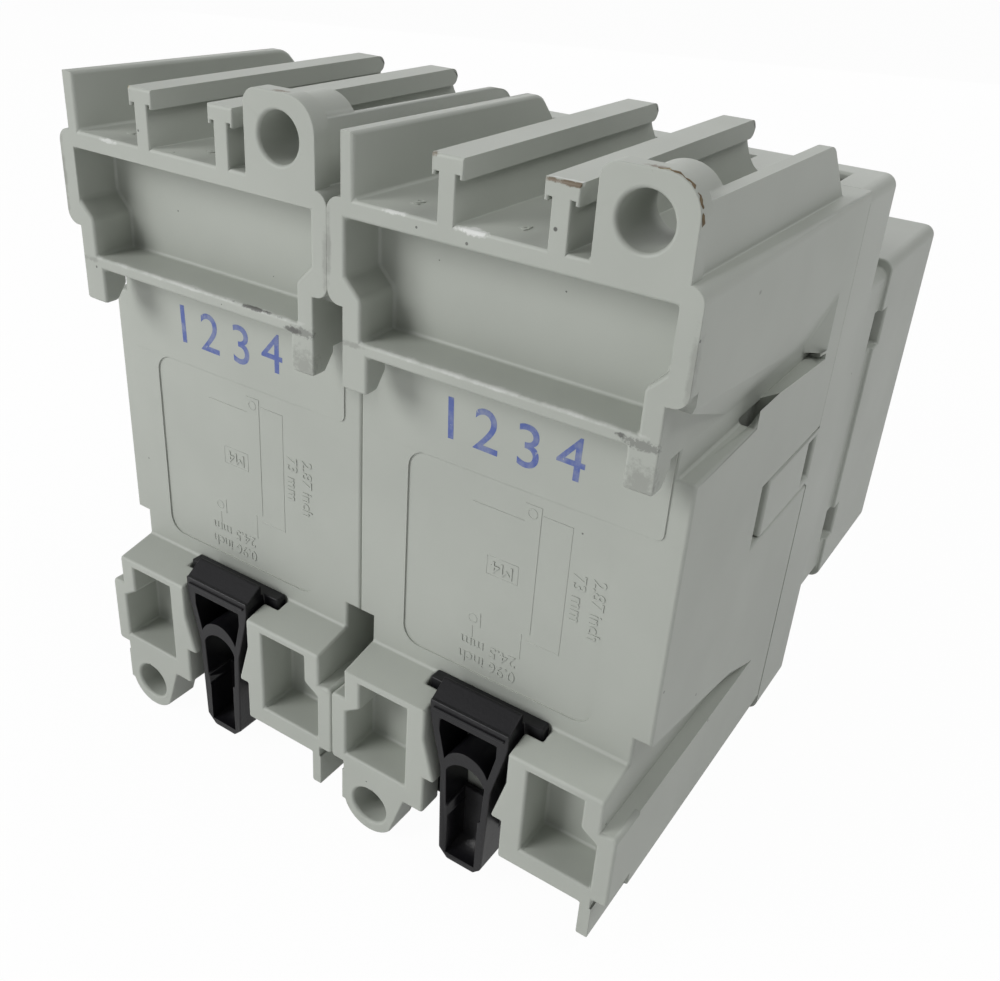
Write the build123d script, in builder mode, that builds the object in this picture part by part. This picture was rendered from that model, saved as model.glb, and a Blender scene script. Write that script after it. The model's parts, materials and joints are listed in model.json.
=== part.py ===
# Two three-pole motor protection breakers, side by side on one rail line.
# Millimetres, +Z up, fronts facing -Y. The origin is the middle of the rail's seat: X = 0 is the seam
# between the two breakers, Y = 0 the panel plane that the rail lies on, Z = 0 the rail's middle height.
# Every piece is drawn for one breaker that is centred on X = 0, with its rear plane at Y = 0 and the
# foot of its lower fixing lug at Z = 0. It is placed from there once for each breaker. A depth is
# counted from the rear plane to the front.
import os
from build123d import *

os.makedirs("parts", exist_ok=True)

# Overall sizes of one breaker
width = 35.6                # two rail modules of 17.8
depth = 81.0                # rear plane to the nose front
terminal_depth = 52.3       # rear plane to the terminal faces
joint_depth = 42.0          # rear plane to the seam of housing and cover
neck_depth = 60.0           # the nose is a little lower and narrower behind this depth
nose_height = 45.0          # the standard panel cut-out
nose_bottom = 15.5

# Fixing holes, for M4 screws, one above and one below on the diagonal
hole_spacing_x = 24.5
hole_spacing_z = 73.0
hole_radius = 2.35
lower_lug_radius = 3.7
lower_lug_depth = 4.0
upper_lug_rise = 3.9        # from the hole's centre to the lug's top
upper_lug_depth = 2.0
lug_inner_round = 1.5
lug_outer_round = 3.1
boss_radius = 3.4
boss_depth = 7.0
driver_radius = 3.6

# Rail recess: a 35 mm rail, hooked above and held by the clip below
rail_height = 35.0
rail_recess = 5.0           # rear plane to the panel the rail lies on
rail_room = 0.4             # above the rail, under the hook ledge
hook_depth = 3.0            # rear plane to the inner face of the hooks

# Walls
wall = 1.8
cover_wall = 1.5
side_wall = 1.2
partition = 1.2
pole_pitch = 10.5
chamber_width = pole_pitch - partition
side_inset = 1.8            # upper and lower side zones stand back by this much
flange_depth = 1.6
shoulder_radius = 1.4
neck_drop = 1.0
neck_inset = 0.5

# Running clearance between pieces that move, and play between pieces that only sit together
clearance = 0.25
play = 0.1

# Heights that follow from the sizes above
half_width = width / 2
lower_hole_z = lower_lug_radius
upper_hole_z = lower_hole_z + hole_spacing_z
housing_top = upper_hole_z - 3.8
housing_bottom = lower_hole_z + 3.3
top_fall = 0.7              # the top falls by this much towards the seam
cover_top = housing_top - top_fall
housing_height = housing_top - housing_bottom
housing_middle = (housing_top + housing_bottom) / 2
ledge_thickness = 1.3
ledge_z = 58.7              # underside of the hook ledge
rail_top = ledge_z - rail_room
rail_bottom = rail_top - rail_height
hook_foot_z = ledge_z - 3.8
hook_width = 2.8
flange_z = ledge_z + 4.3    # the rim is at its full width above this
side_step_z = hook_foot_z - 0.4
slope_foot_z = side_step_z + 2.7
inset_half = half_width - side_inset
inner_half = inset_half - side_wall
lower_notch_z = rail_bottom + 2.4
block_slope_z = rail_bottom - 0.8
block_top_z = rail_bottom - 1.9
lower_flange_z = rail_bottom - 5.8
nose_top = nose_bottom + nose_height
nose_middle = nose_bottom + nose_height / 2
cover_bottom = housing_bottom - 2.4
inner_top = housing_top - wall
inner_bottom = housing_bottom + wall
inner_back = rail_recess + wall
rail_middle = rail_bottom + rail_height / 2

# Poles
poles = (-pole_pitch, 0.0, pole_pitch)
partition_x = (-pole_pitch / 2, pole_pitch / 2)
wall_x = (-1.5 * pole_pitch, -pole_pitch / 2, pole_pitch / 2, 1.5 * pole_pitch)

# Barrier ribs above and below the wiring bays
rib_thickness = 1.4
rib_height = 5.7
rib_length = 30.8
rib_slope = 6.2
rib_fall = 0.5              # its top edge falls by this much towards the front
tee_stem = 1.7
tee_head_width = 3.1
tee_head_height = 1.8
tee_height = 5.5
tee_lip = 0.35
tee_length = 35.5
tee_slope = 5.4
lower_rib_drop = 4.4
outer_rib_x = inset_half - rib_thickness / 2 + 0.2

# Rail clip
clip_travel = 3.0
channel_half = 5.1
jaw_half = 3.6
jaw_z = housing_bottom + 5.1
guide_half = 6.3
guide_depth = 3.2
ear_half = 7.0
ear_height = 1.8
clip_head_half = 4.8
clip_body_half = 4.5
clip_tail_half = 3.2
clip_tip_half = 2.8
clip_tip_z = 1.8
clip_rear = 0.5
clip_lip = 1.0              # how far the clip's lip laps the rail
clip_head_gap = 0.3         # between the clip's head and the rail's lower edge
clip_head_z = rail_bottom - clip_head_gap

# Terminals
cage_width = chamber_width - 1.7
cage_depth = 8.4
cage_height = 7.0
cage_wall = 1.0
cage_rear = terminal_depth - 11.3
cage_gap = 2.6              # from the inner top or bottom of the housing to the cage
screw_head_radius = 2.7
screw_head_length = 2.0
screw_shank_radius = 1.7
entry_width = 6.4
entry_depth = 5.6
bar_width = cage_width - 2 * cage_wall - 0.6
bar_thickness = 1.0

# Contacts
contact_z = 44.0            # middle of the moving bridge
contact_reach = 8.5         # from there to each pair of contact tips
contact_gap = 3.55          # the carrier's travel and 0.2 between closed contacts
tip_size = 3.0
tip_thickness = 1.1
pad_thickness = 1.2
bridge_thickness = 1.2
seat_gap = 0.3              # between a bar and the wall it is seated on
finger_height = 6.0
crossbar_rear = 26.0
crossbar_depth = 4.0

# Buttons, lever and dial
button_x = 7.5
button_z = nose_top - 11.5
button_width = 11.0
button_height = 13.0
button_proud = 2.5
flange_rim = 0.8
flange_thickness = 1.7
stem_size = 4.0
start_travel = 4.0
stop_travel = 3.0
lever_angle = 19.5          # degrees that the lever turns over the start button's travel
carrier_travel = 3.35       # what the lever's lower arm gives the carrier over that angle
dial_z = nose_bottom + 9.5
dial_radius = 5.5
dial_shaft_radius = 2.0
frame_rear = terminal_depth - 1.8
frame_front = frame_rear + 16.5
frame_wall = 1.0
frame_bottom = nose_bottom + 4.5
frame_top = nose_top - cover_wall - 3.0
pin_radius = 1.0
pin_depth = frame_rear + 7.5
pin_z = contact_z - 8.0
lever_thickness = 2.0


def at_depth(distance):
    """The plane at this depth from the rear plane, drawn in X and Z."""
    return Plane.XZ.offset(distance)


# Rear housing: a tray that is open to the front, with the rail recess, hooks and barrier ribs
with BuildPart() as rear_housing:
    # Body from the rail panel to the seam, narrower beside the upper hooks
    with BuildSketch(at_depth(rail_recess)):
        with Locations((0, housing_middle)):
            Rectangle(2 * inset_half, housing_height)
        with Locations((0, (side_step_z + housing_bottom) / 2)):
            Rectangle(width, side_step_z - housing_bottom)
    extrude(amount=joint_depth - rail_recess)
    with BuildSketch(at_depth(joint_depth - 0.6)):
        with Locations((0, housing_middle)):
            RectangleRounded(width, housing_height, shoulder_radius)
    extrude(amount=0.6)

    # Upper rim on the rear plane, and the zone at full width with its rounded shoulders
    with BuildSketch(at_depth(0)):
        with Locations((0, (housing_top + ledge_z) / 2)):
            Rectangle(2 * inset_half, housing_top - ledge_z)
    extrude(amount=rail_recess)
    with BuildSketch(at_depth(0)):
        with Locations((0, (housing_top + flange_z) / 2)):
            RectangleRounded(width, housing_top - flange_z, shoulder_radius)
    extrude(amount=joint_depth)
    with BuildSketch(Plane.YZ.offset(-half_width)):
        with BuildLine():
            Polyline(
                (0, housing_top),
                (-joint_depth, cover_top),
                (-joint_depth, housing_top + 1),
                (0, housing_top + 1),
                close=True,
            )
        make_face()
    extrude(amount=width, mode=Mode.SUBTRACT)

    # Side slopes below that zone, run out at the rear, with a ramp that closes each at its front
    slope_run = 14.0
    ramp_depth = 35.0
    ramp_length = 2.6
    ramp_foot_z = side_step_z + 1.5
    for side in (-1, 1):
        with BuildSketch(at_depth(flange_depth)):
            with BuildLine():
                Polyline(
                    (side * (inset_half - 0.5), flange_z + shoulder_radius),
                    (side * half_width, flange_z + shoulder_radius),
                    (side * half_width, flange_z),
                    (side * inset_half, slope_foot_z),
                    (side * (inset_half - 0.5), slope_foot_z),
                    close=True,
                )
            make_face()
        extrude(amount=joint_depth - flange_depth)
        with BuildSketch(Plane.YZ.offset(side * (half_width - side_inset / 2) - side_inset / 2)):
            with BuildLine():
                Polyline(
                    (0, flange_z),
                    (-slope_run, slope_foot_z),
                    (-slope_run, slope_foot_z - 0.5),
                    (0, slope_foot_z - 0.5),
                    close=True,
                )
            make_face()
        extrude(amount=side_inset, mode=Mode.SUBTRACT)
        with BuildSketch(Plane.XY.offset(ramp_foot_z)):
            with BuildLine():
                Polyline(
                    (side * (inset_half - 0.5), -ramp_depth),
                    (side * inset_half, -ramp_depth),
                    (side * half_width, -ramp_depth - ramp_length),
                    (side * half_width, -joint_depth),
                    (side * (inset_half - 0.5), -joint_depth),
                    close=True,
                )
            make_face()
        extrude(amount=flange_z - ramp_foot_z + shoulder_radius)

    # Raised edge of the plate beside the slopes, and the slot behind its rear end
    edge_depth = 18.5
    edge_full_depth = 23.6
    edge_rise = 1.9
    edge_inner_rise = 0.8
    slot_inner = inset_half - 0.6
    slot_outer = inset_half + 0.9
    for side in (-1, 1):
        with BuildSketch(at_depth(edge_full_depth)):
            with BuildLine():
                Polyline(
                    (side * (inset_half - 0.5), side_step_z - 0.5),
                    (side * half_width, side_step_z - 0.5),
                    (side * half_width, side_step_z + edge_rise),
                    (side * inset_half, side_step_z + edge_inner_rise),
                    (side * (inset_half - 0.5), side_step_z + edge_inner_rise),
                    close=True,
                )
            make_face()
        extrude(amount=joint_depth - edge_full_depth)
        with BuildSketch(Plane.YZ.offset(side * (half_width - side_inset / 2) - side_inset / 2)):
            with BuildLine():
                Polyline(
                    (-edge_full_depth, side_step_z + edge_rise),
                    (-ramp_depth - ramp_length, side_step_z + edge_inner_rise),
                    (-ramp_depth - ramp_length, ramp_foot_z),
                    (-ramp_depth, side_step_z + edge_rise),
                    close=True,
                )
            make_face()
        extrude(amount=side_inset, mode=Mode.SUBTRACT)
        with BuildSketch(at_depth(edge_depth)):
            with BuildLine():
                Polyline(
                    (side * slot_outer, side_step_z - 0.2),
                    (side * half_width, side_step_z - 0.2),
                    (side * half_width, side_step_z + edge_rise),
                    close=True,
                )
            make_face()
        extrude(amount=edge_full_depth - edge_depth)
        with BuildSketch(Plane.XY.offset(side_step_z - 4.0)):
            with BuildLine():
                Polyline(
                    (side * slot_inner, -edge_depth),
                    (side * slot_outer, -edge_depth),
                    (side * slot_outer, -edge_full_depth),
                    (side * slot_inner, -edge_full_depth),
                    close=True,
                )
            make_face()
        extrude(amount=4.6, mode=Mode.SUBTRACT)

    # Upper pocket between the rim and the hook ledge
    with BuildSketch(at_depth(0)):
        with BuildLine():
            pocket_half = half_width - 2.0
            neck_half = pocket_half - 1.8
            Polyline(
                (-pocket_half, housing_top - wall),
                (pocket_half, housing_top - wall),
                (pocket_half, flange_z + 2.8),
                (neck_half, flange_z + 1.0),
                (neck_half, ledge_z + ledge_thickness),
                (-neck_half, ledge_z + ledge_thickness),
                (-neck_half, flange_z + 1.0),
                (-pocket_half, flange_z + 2.8),
                close=True,
            )
        make_face()
    extrude(amount=rail_recess, mode=Mode.SUBTRACT)

    # Hook feet: they reach down behind the rail's upper edge
    for side in (-1, 1):
        with BuildSketch(Plane.YZ.offset(side * (inset_half - hook_width / 2) - hook_width / 2)):
            with BuildLine():
                Polyline(
                    (0, ledge_z + 0.5),
                    (0, hook_foot_z),
                    (-1.7, hook_foot_z),
                    (-hook_depth, hook_foot_z + 1.7),
                    (-hook_depth, ledge_z + 0.5),
                    close=True,
                )
            make_face()
        extrude(amount=hook_width)

    # Lower block on the rear plane: sloped top, wide flange below
    with BuildSketch(Plane.YZ.offset(-inset_half)):
        with BuildLine():
            Polyline(
                (-rail_recess, block_slope_z),
                (0, block_top_z),
                (0, housing_bottom),
                (-rail_recess, housing_bottom),
                close=True,
            )
        make_face()
    extrude(amount=2 * inset_half)
    with BuildSketch(at_depth(0)):
        with Locations((0, (lower_flange_z + housing_bottom) / 2 + 0.6)):
            RectangleRounded(width, lower_flange_z - housing_bottom - 1.2, 0.6)
    extrude(amount=rail_recess)

    # Lower pockets, each wider at its foot
    pocket_top = block_top_z - 1.0
    pocket_bottom = housing_bottom + 2.6
    pocket_jog = lower_flange_z - 0.6
    pocket_inner = 7.5
    for side in (-1, 1):
        with BuildSketch(at_depth(0)):
            with BuildLine():
                Polyline(
                    (side * pocket_inner, pocket_top),
                    (side * (inset_half - 2.2), pocket_top),
                    (side * (inset_half - 2.2), pocket_jog),
                    (side * (half_width - 2.1), pocket_jog - 1.2),
                    (side * (half_width - 2.1), pocket_bottom),
                    (side * pocket_inner, pocket_bottom),
                    close=True,
                )
            make_face()
        extrude(amount=rail_recess, mode=Mode.SUBTRACT)

    # Channel for the clip, with two jaws that its spring arms press on
    with BuildSketch(at_depth(0)):
        with BuildLine():
            Polyline(
                (-channel_half, block_slope_z + 1),
                (channel_half, block_slope_z + 1),
                (channel_half, lower_flange_z),
                (jaw_half, jaw_z),
                (channel_half - 0.2, jaw_z),
                (channel_half - 0.2, housing_bottom),
                (0.2 - channel_half, housing_bottom),
                (0.2 - channel_half, jaw_z),
                (-jaw_half, jaw_z),
                (-channel_half, lower_flange_z),
                close=True,
            )
        make_face()
    extrude(amount=rail_recess, mode=Mode.SUBTRACT)
    ear_slot_bottom = clip_head_z - ear_height - clip_travel - clearance
    with BuildSketch(at_depth(guide_depth)):
        with Locations((0, (block_slope_z + 1 + housing_bottom) / 2)):
            Rectangle(2 * guide_half, block_slope_z + 1 - housing_bottom)
        with Locations((0, (block_slope_z + 1 + ear_slot_bottom) / 2)):
            Rectangle(2 * (ear_half + clearance), block_slope_z + 1 - ear_slot_bottom)
    extrude(amount=rail_recess - guide_depth, mode=Mode.SUBTRACT)

    # Lower side recess: stepped at the rear, sloping further forward, closed by a pointed end
    closing_depth = 27.0
    recess_depth = 34.4
    past = half_width + 0.5
    for side in (-1, 1):
        sections = (
            (rail_recess, lower_notch_z, inset_half, lower_notch_z),
            (closing_depth, lower_flange_z + 4.0, inset_half + 0.2, lower_flange_z + 0.7),
            (recess_depth, lower_flange_z + 0.3, half_width - 0.1, lower_flange_z + 0.1),
        )
        for first, last in zip(sections, sections[1:]):
            for distance, outer_z, inner_x, inner_z in (first, last):
                with BuildSketch(at_depth(distance)):
                    with BuildLine():
                        Polyline(
                            (side * past, outer_z),
                            (side * inner_x, inner_z),
                            (side * inner_x, lower_flange_z),
                            (side * past, lower_flange_z),
                            close=True,
                        )
                    make_face()
            loft(ruled=True, mode=Mode.SUBTRACT)

    # Outer barrier ribs above the wiring bays, and shorter ones below
    for side in (-1, 1):
        with BuildSketch(Plane.YZ.offset(side * outer_rib_x - rib_thickness / 2)):
            with BuildLine():
                Polyline(
                    (0, cover_top - 0.1),
                    (0, housing_top + rib_height),
                    (-rib_length, housing_top + rib_height - rib_fall),
                    (-rib_length - rib_slope, cover_top - 0.1),
                    close=True,
                )
            make_face()
            with BuildLine():
                Polyline(
                    (0, housing_bottom),
                    (0, housing_bottom - lower_rib_drop),
                    (-rib_length - rib_slope, housing_bottom - lower_rib_drop),
                    (-joint_depth, housing_bottom),
                    close=True,
                )
            make_face()
        extrude(amount=rib_thickness)

    # T-headed barrier ribs between the poles
    head_z = housing_top + tee_height
    head_foot_z = head_z - tee_head_height
    for x in partition_x:
        with BuildSketch(at_depth(0)):
            with BuildLine():
                Polyline(
                    (x - tee_stem / 2, cover_top - 0.1),
                    (x - tee_stem / 2, head_foot_z + tee_lip),
                    (x - tee_head_width / 2 + tee_lip, head_foot_z + tee_lip),
                    (x - tee_head_width / 2 + tee_lip, head_foot_z),
                    (x - tee_head_width / 2, head_foot_z),
                    (x - tee_head_width / 2, head_z),
                    (x + tee_head_width / 2, head_z),
                    (x + tee_head_width / 2, head_foot_z),
                    (x + tee_head_width / 2 - tee_lip, head_foot_z),
                    (x + tee_head_width / 2 - tee_lip, head_foot_z + tee_lip),
                    (x + tee_stem / 2, head_foot_z + tee_lip),
                    (x + tee_stem / 2, cover_top - 0.1),
                    close=True,
                )
            make_face()
        extrude(amount=tee_length + tee_slope)
        with BuildSketch(at_depth(rail_recess + 3)):
            with Locations((x, housing_bottom - lower_rib_drop / 2)):
                Rectangle(tee_stem, lower_rib_drop)
        extrude(amount=tee_length - rail_recess - 3)
    with BuildSketch(Plane.YZ.offset(-pole_pitch)):
        with BuildLine():
            Polyline(
                (-tee_length - tee_slope, cover_top),
                (-joint_depth - 1, cover_top),
                (-joint_depth - 1, head_z + 1),
                (-tee_length, head_z + 1),
                (-tee_length, head_foot_z),
            )
            ThreePointArc(
                (-tee_length, head_foot_z),
                (-tee_length - 0.3 * tee_slope, housing_top + 0.3 * tee_height),
                (-tee_length - tee_slope, cover_top),
            )
        make_face()
    extrude(amount=2 * pole_pitch, mode=Mode.SUBTRACT)

    # Upper fixing lug with the boss behind it
    lug_inner = -hole_spacing_x / 2 + 4.05
    lug_outer = -hole_spacing_x / 2 - 4.25
    lug_top = upper_hole_z + upper_lug_rise
    with BuildSketch(at_depth(0)):
        with BuildLine():
            on_arc = 1 - 0.7071
            Polyline(
                (lug_outer, lug_top - lug_outer_round),
                (lug_outer, housing_top - 0.5),
                (lug_inner, housing_top - 0.5),
                (lug_inner, lug_top - lug_inner_round),
            )
            ThreePointArc(
                (lug_inner, lug_top - lug_inner_round),
                (lug_inner - on_arc * lug_inner_round, lug_top - on_arc * lug_inner_round),
                (lug_inner - lug_inner_round, lug_top),
            )
            Line((lug_inner - lug_inner_round, lug_top), (lug_outer + lug_outer_round, lug_top))
            ThreePointArc(
                (lug_outer + lug_outer_round, lug_top),
                (lug_outer + on_arc * lug_outer_round, lug_top - on_arc * lug_outer_round),
                (lug_outer, lug_top - lug_outer_round),
            )
        make_face()
    extrude(amount=upper_lug_depth)
    with BuildSketch(at_depth(0)):
        with Locations((-hole_spacing_x / 2, upper_hole_z)):
            Circle(boss_radius)
        with Locations((-hole_spacing_x / 2, (upper_hole_z + housing_top - 0.5) / 2)):
            Rectangle(1.4 * boss_radius, upper_hole_z - housing_top + 0.5)
    extrude(amount=boss_depth)

    # Lower fixing lug, rounded about its hole
    with BuildSketch(at_depth(0)):
        with BuildLine():
            lug_x = hole_spacing_x / 2
            Polyline(
                (lug_x + lower_lug_radius, lower_hole_z),
                (lug_x + lower_lug_radius, housing_bottom + 0.5),
                (lug_x - lower_lug_radius - 1.2, housing_bottom + 0.5),
                (lug_x - lower_lug_radius * 0.8, lower_hole_z - lower_lug_radius * 0.6),
            )
            RadiusArc(
                (lug_x - lower_lug_radius * 0.8, lower_hole_z - lower_lug_radius * 0.6),
                (lug_x + lower_lug_radius, lower_hole_z),
                -lower_lug_radius,
            )
        make_face()
    extrude(amount=lower_lug_depth)

    # Both fixing holes
    with Locations(at_depth(0).location):
        with Locations((-hole_spacing_x / 2, upper_hole_z, boss_depth / 2)):
            Cylinder(hole_radius, boss_depth, mode=Mode.SUBTRACT)
        with Locations((hole_spacing_x / 2, lower_hole_z, lower_lug_depth / 2)):
            Cylinder(hole_radius, lower_lug_depth, mode=Mode.SUBTRACT)

    # Three pole chambers, open to the front, joined where the contact carrier crosses them
    with BuildSketch(at_depth(inner_back)):
        with Locations((0, (inner_top + inner_bottom) / 2)):
            Rectangle(2 * inner_half, inner_top - inner_bottom)
        for x in partition_x:
            with Locations((x, (inner_top + inner_bottom) / 2)):
                Rectangle(partition, inner_top - inner_bottom, mode=Mode.SUBTRACT)
    extrude(amount=joint_depth - inner_back, mode=Mode.SUBTRACT)
    with BuildSketch(at_depth(crossbar_rear - carrier_travel - 2 * clearance)):
        with Locations((0, contact_z)):
            Rectangle(pole_pitch + 2 * partition, finger_height + 4 * clearance)
    extrude(amount=joint_depth - crossbar_rear + carrier_travel + 2 * clearance, mode=Mode.SUBTRACT)

    # Seats for the cover's snap tabs, each with a gap behind the tab and a pocket under its window
    tab_height = 7.0
    tab_length = 15.2
    tab_thickness = 1.2
    tab_gap = 2.2
    tab_z = side_step_z - 12.5
    window_depth = 39.2
    window_length = 2.4
    window_height = 5.2
    for side in (-1, 1):
        with BuildSketch(at_depth(joint_depth - tab_length - tab_gap)):
            with Locations((side * (half_width - tab_thickness / 2), tab_z)):
                Rectangle(tab_thickness + 2 * play, tab_height + 2 * play)
        extrude(amount=tab_length + tab_gap, mode=Mode.SUBTRACT)
        with BuildSketch(at_depth(window_depth)):
            with Locations((side * (half_width - tab_thickness - 0.5), tab_z)):
                Rectangle(1.4, window_height)
        extrude(amount=window_length, mode=Mode.SUBTRACT)

# Front cover: terminal steps above and below, and the nose that shows through the panel
with BuildPart() as front_cover:
    with BuildSketch(at_depth(joint_depth)):
        with Locations((0, (cover_top + cover_bottom) / 2)):
            RectangleRounded(width, cover_top - cover_bottom, shoulder_radius)
    extrude(amount=terminal_depth - joint_depth)
    fillet(front_cover.faces().sort_by(Axis.Y)[0].edges(), 1.1)
    with BuildSketch(at_depth(terminal_depth - 1)):
        with Locations((0, nose_middle)):
            RectangleRounded(width - 2 * neck_inset, nose_height - 2 * neck_drop, shoulder_radius)
    extrude(amount=neck_depth - terminal_depth + 1)
    with BuildSketch(at_depth(neck_depth)):
        with Locations((0, nose_middle)):
            RectangleRounded(width, nose_height, shoulder_radius)
    extrude(amount=depth - neck_depth)
    fillet(front_cover.faces().sort_by(Axis.Y)[0].edges(), 1.1)
    with BuildSketch(at_depth(joint_depth)):
        with Locations((0, (inner_top + cover_bottom + wall) / 2)):
            Rectangle(width - 2 * cover_wall, inner_top - cover_bottom - wall)
    extrude(amount=terminal_depth - cover_wall - joint_depth, mode=Mode.SUBTRACT)
    with BuildSketch(at_depth(joint_depth)):
        with Locations((0, nose_middle)):
            Rectangle(width - 2 * cover_wall, nose_height - 2 * cover_wall - 2 * neck_drop)
    extrude(amount=neck_depth + cover_wall - joint_depth, mode=Mode.SUBTRACT)
    with BuildSketch(at_depth(neck_depth + cover_wall)):
        with Locations((0, nose_middle)):
            Rectangle(width - 2 * cover_wall, nose_height - 2 * cover_wall)
    extrude(amount=depth - neck_depth - 2 * cover_wall - 0.3, mode=Mode.SUBTRACT)

    # Partitions between the terminals, above and below the mechanism
    cage_top_z = inner_top - cage_gap
    cage_low_z = inner_bottom + cage_gap
    for x in partition_x:
        with BuildSketch(at_depth(joint_depth)):
            with Locations((x, (inner_top + nose_top - cover_wall) / 2)):
                Rectangle(partition, inner_top - nose_top + cover_wall)
            with Locations((x, (nose_bottom + cover_wall + cover_bottom + wall) / 2)):
                Rectangle(partition, nose_bottom + cover_wall - cover_bottom - wall)
        extrude(amount=terminal_depth - cover_wall / 2 - joint_depth)

    # Groove under the cover, a way for the driver to the lower fixing screw
    groove_wall = 1.2
    lug_x = hole_spacing_x / 2
    with BuildSketch(at_depth(joint_depth)):
        with BuildLine():
            top_z = lower_hole_z + driver_radius + groove_wall
            Polyline(
                (lug_x - driver_radius - groove_wall, cover_bottom),
                (lug_x - driver_radius - groove_wall, top_z),
                (lug_x + driver_radius + groove_wall, top_z),
                (lug_x + driver_radius + groove_wall, cover_bottom),
                close=True,
            )
        make_face()
    extrude(amount=terminal_depth - cover_wall / 2 - joint_depth)
    with BuildSketch(at_depth(joint_depth - 1)):
        with Locations((lug_x, lower_hole_z)):
            Circle(driver_radius)
    extrude(amount=terminal_depth - joint_depth + 2, mode=Mode.SUBTRACT)

    # Screw holes in both terminal faces, wire entries above and below
    screw_z = (cage_top_z - cage_height / 2, cage_low_z + cage_height / 2)
    for z in screw_z:
        with BuildSketch(at_depth(terminal_depth - 2)):
            with Locations(*[(x, z) for x in poles]):
                Circle(screw_head_radius + clearance)
        extrude(amount=3, mode=Mode.SUBTRACT)
    entry_y = -(cage_rear + cage_depth / 2)
    with BuildSketch(Plane.XY.offset(cover_bottom - 1)):
        with Locations(*[(x, entry_y) for x in poles]):
            Rectangle(entry_width, entry_depth)
    extrude(amount=lower_hole_z + driver_radius + groove_wall - cover_bottom + 2, mode=Mode.SUBTRACT)
    with BuildSketch(Plane.XY.offset(inner_top - 1)):
        with Locations(*[(x, entry_y) for x in poles]):
            Rectangle(entry_width, entry_depth)
    extrude(amount=wall + 2, mode=Mode.SUBTRACT)

    # Windows for the two buttons and the dial
    with BuildSketch(at_depth(depth - cover_wall - 1)):
        with Locations((-button_x, button_z), (button_x, button_z)):
            RectangleRounded(button_width + 2 * clearance, button_height + 2 * clearance, 1.2)
        with Locations((0, dial_z)):
            Circle(dial_radius + clearance)
    extrude(amount=cover_wall + 2, mode=Mode.SUBTRACT)

    # Snap tabs that reach back into the housing's sides, with a window near each tab's root
    for side in (-1, 1):
        with BuildSketch(at_depth(joint_depth - tab_length)):
            with Locations((side * (half_width - tab_thickness / 2), tab_z)):
                Rectangle(tab_thickness, tab_height)
        extrude(amount=tab_length + 2)
        with BuildSketch(at_depth(window_depth)):
            with Locations((side * (half_width - tab_thickness / 2), tab_z)):
                Rectangle(tab_thickness + 1, window_height)
        extrude(amount=window_length, mode=Mode.SUBTRACT)

    # Snap slots in the nose's sides, across the step behind the nose
    for side in (-1, 1):
        for z in (nose_top - 8.7, nose_bottom + 8.7):
            with BuildSketch(at_depth(neck_depth - 1.2)):
                with Locations((side * (half_width - cover_wall / 2), z)):
                    Rectangle(cover_wall + 1, 4.8)
            extrude(amount=3.2, mode=Mode.SUBTRACT)

# Rail clip: head and lip that lap the rail, base plate in the guides, spring arch, release tail
with BuildPart() as din_clip:
    base_rear = guide_depth + clearance
    base_front = rail_recess - play
    with BuildSketch(at_depth(base_rear)):
        with Locations((0, (clip_head_z + housing_bottom + 0.3) / 2)):
            Rectangle(2 * (guide_half - clearance), clip_head_z - housing_bottom - 0.3)
        with Locations((0, clip_head_z - ear_height / 2)):
            Rectangle(2 * ear_half, ear_height)
    extrude(amount=base_front - base_rear)
    with BuildSketch(at_depth(clip_rear)):
        with BuildLine():
            Polyline(
                (-clip_head_half, clip_head_z),
                (clip_head_half, clip_head_z),
                (clip_head_half, block_top_z),
                (clip_body_half, block_top_z - 1.5),
                (clip_tail_half, jaw_z + 2.5),
                (clip_tip_half, clip_tip_z + 1.2),
                (clip_tip_half - 1.2, clip_tip_z),
                (1.2 - clip_tip_half, clip_tip_z),
                (-clip_tip_half, clip_tip_z + 1.2),
                (-clip_tail_half, jaw_z + 2.5),
                (-clip_body_half, block_top_z - 1.5),
                (-clip_head_half, block_top_z),
                close=True,
            )
        make_face()
    extrude(amount=base_front - clip_rear)
    # Ramp that the rail's edge rides over, ending in the lip behind the rail's lower edge
    lip_front = guide_depth - play
    with BuildSketch(Plane.YZ.offset(-clip_head_half)):
        with BuildLine():
            Polyline(
                (-clip_rear, block_top_z),
                (-clip_rear, clip_head_z - 0.2),
                (0.3 - lip_front, rail_bottom + clip_lip),
                (-lip_front, rail_bottom + clip_lip),
                (-lip_front, block_top_z),
                close=True,
            )
        make_face()
    extrude(amount=2 * clip_head_half)
    # Window above the spring arch, the opening below the arch, and the pocket in the tail
    arch_z = block_top_z - 3.5
    leg = 1.0
    window_top = clip_head_z - 2.0
    with BuildSketch(at_depth(0)):
        with BuildLine():
            Polyline(
                (-2.7, arch_z - 1.9),
                (leg - clip_body_half, block_top_z - 1.9),
                (leg - clip_body_half, window_top),
                (clip_body_half - leg, window_top),
                (clip_body_half - leg, block_top_z - 1.9),
                (2.7, arch_z - 1.9),
            )
            ThreePointArc((2.7, arch_z - 1.9), (0, arch_z), (-2.7, arch_z - 1.9))
        make_face()
        with BuildLine():
            Polyline(
                (-2.4, arch_z - 3.3),
                (leg - clip_tail_half, jaw_z - 2.4),
                (clip_tail_half - leg, jaw_z - 2.4),
                (2.4, arch_z - 3.3),
            )
            ThreePointArc((2.4, arch_z - 3.3), (0, arch_z - 1.7), (-2.4, arch_z - 3.3))
        make_face()
    extrude(amount=rail_recess, mode=Mode.SUBTRACT)
    with BuildSketch(at_depth(0)):
        with Locations((0, (jaw_z - 3.4 + clip_tip_z + 1.0) / 2)):
            Rectangle(2 * (clip_tip_half - leg + 0.1), jaw_z - 4.4 - clip_tip_z)
    extrude(amount=base_front - 0.9, mode=Mode.SUBTRACT)


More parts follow.
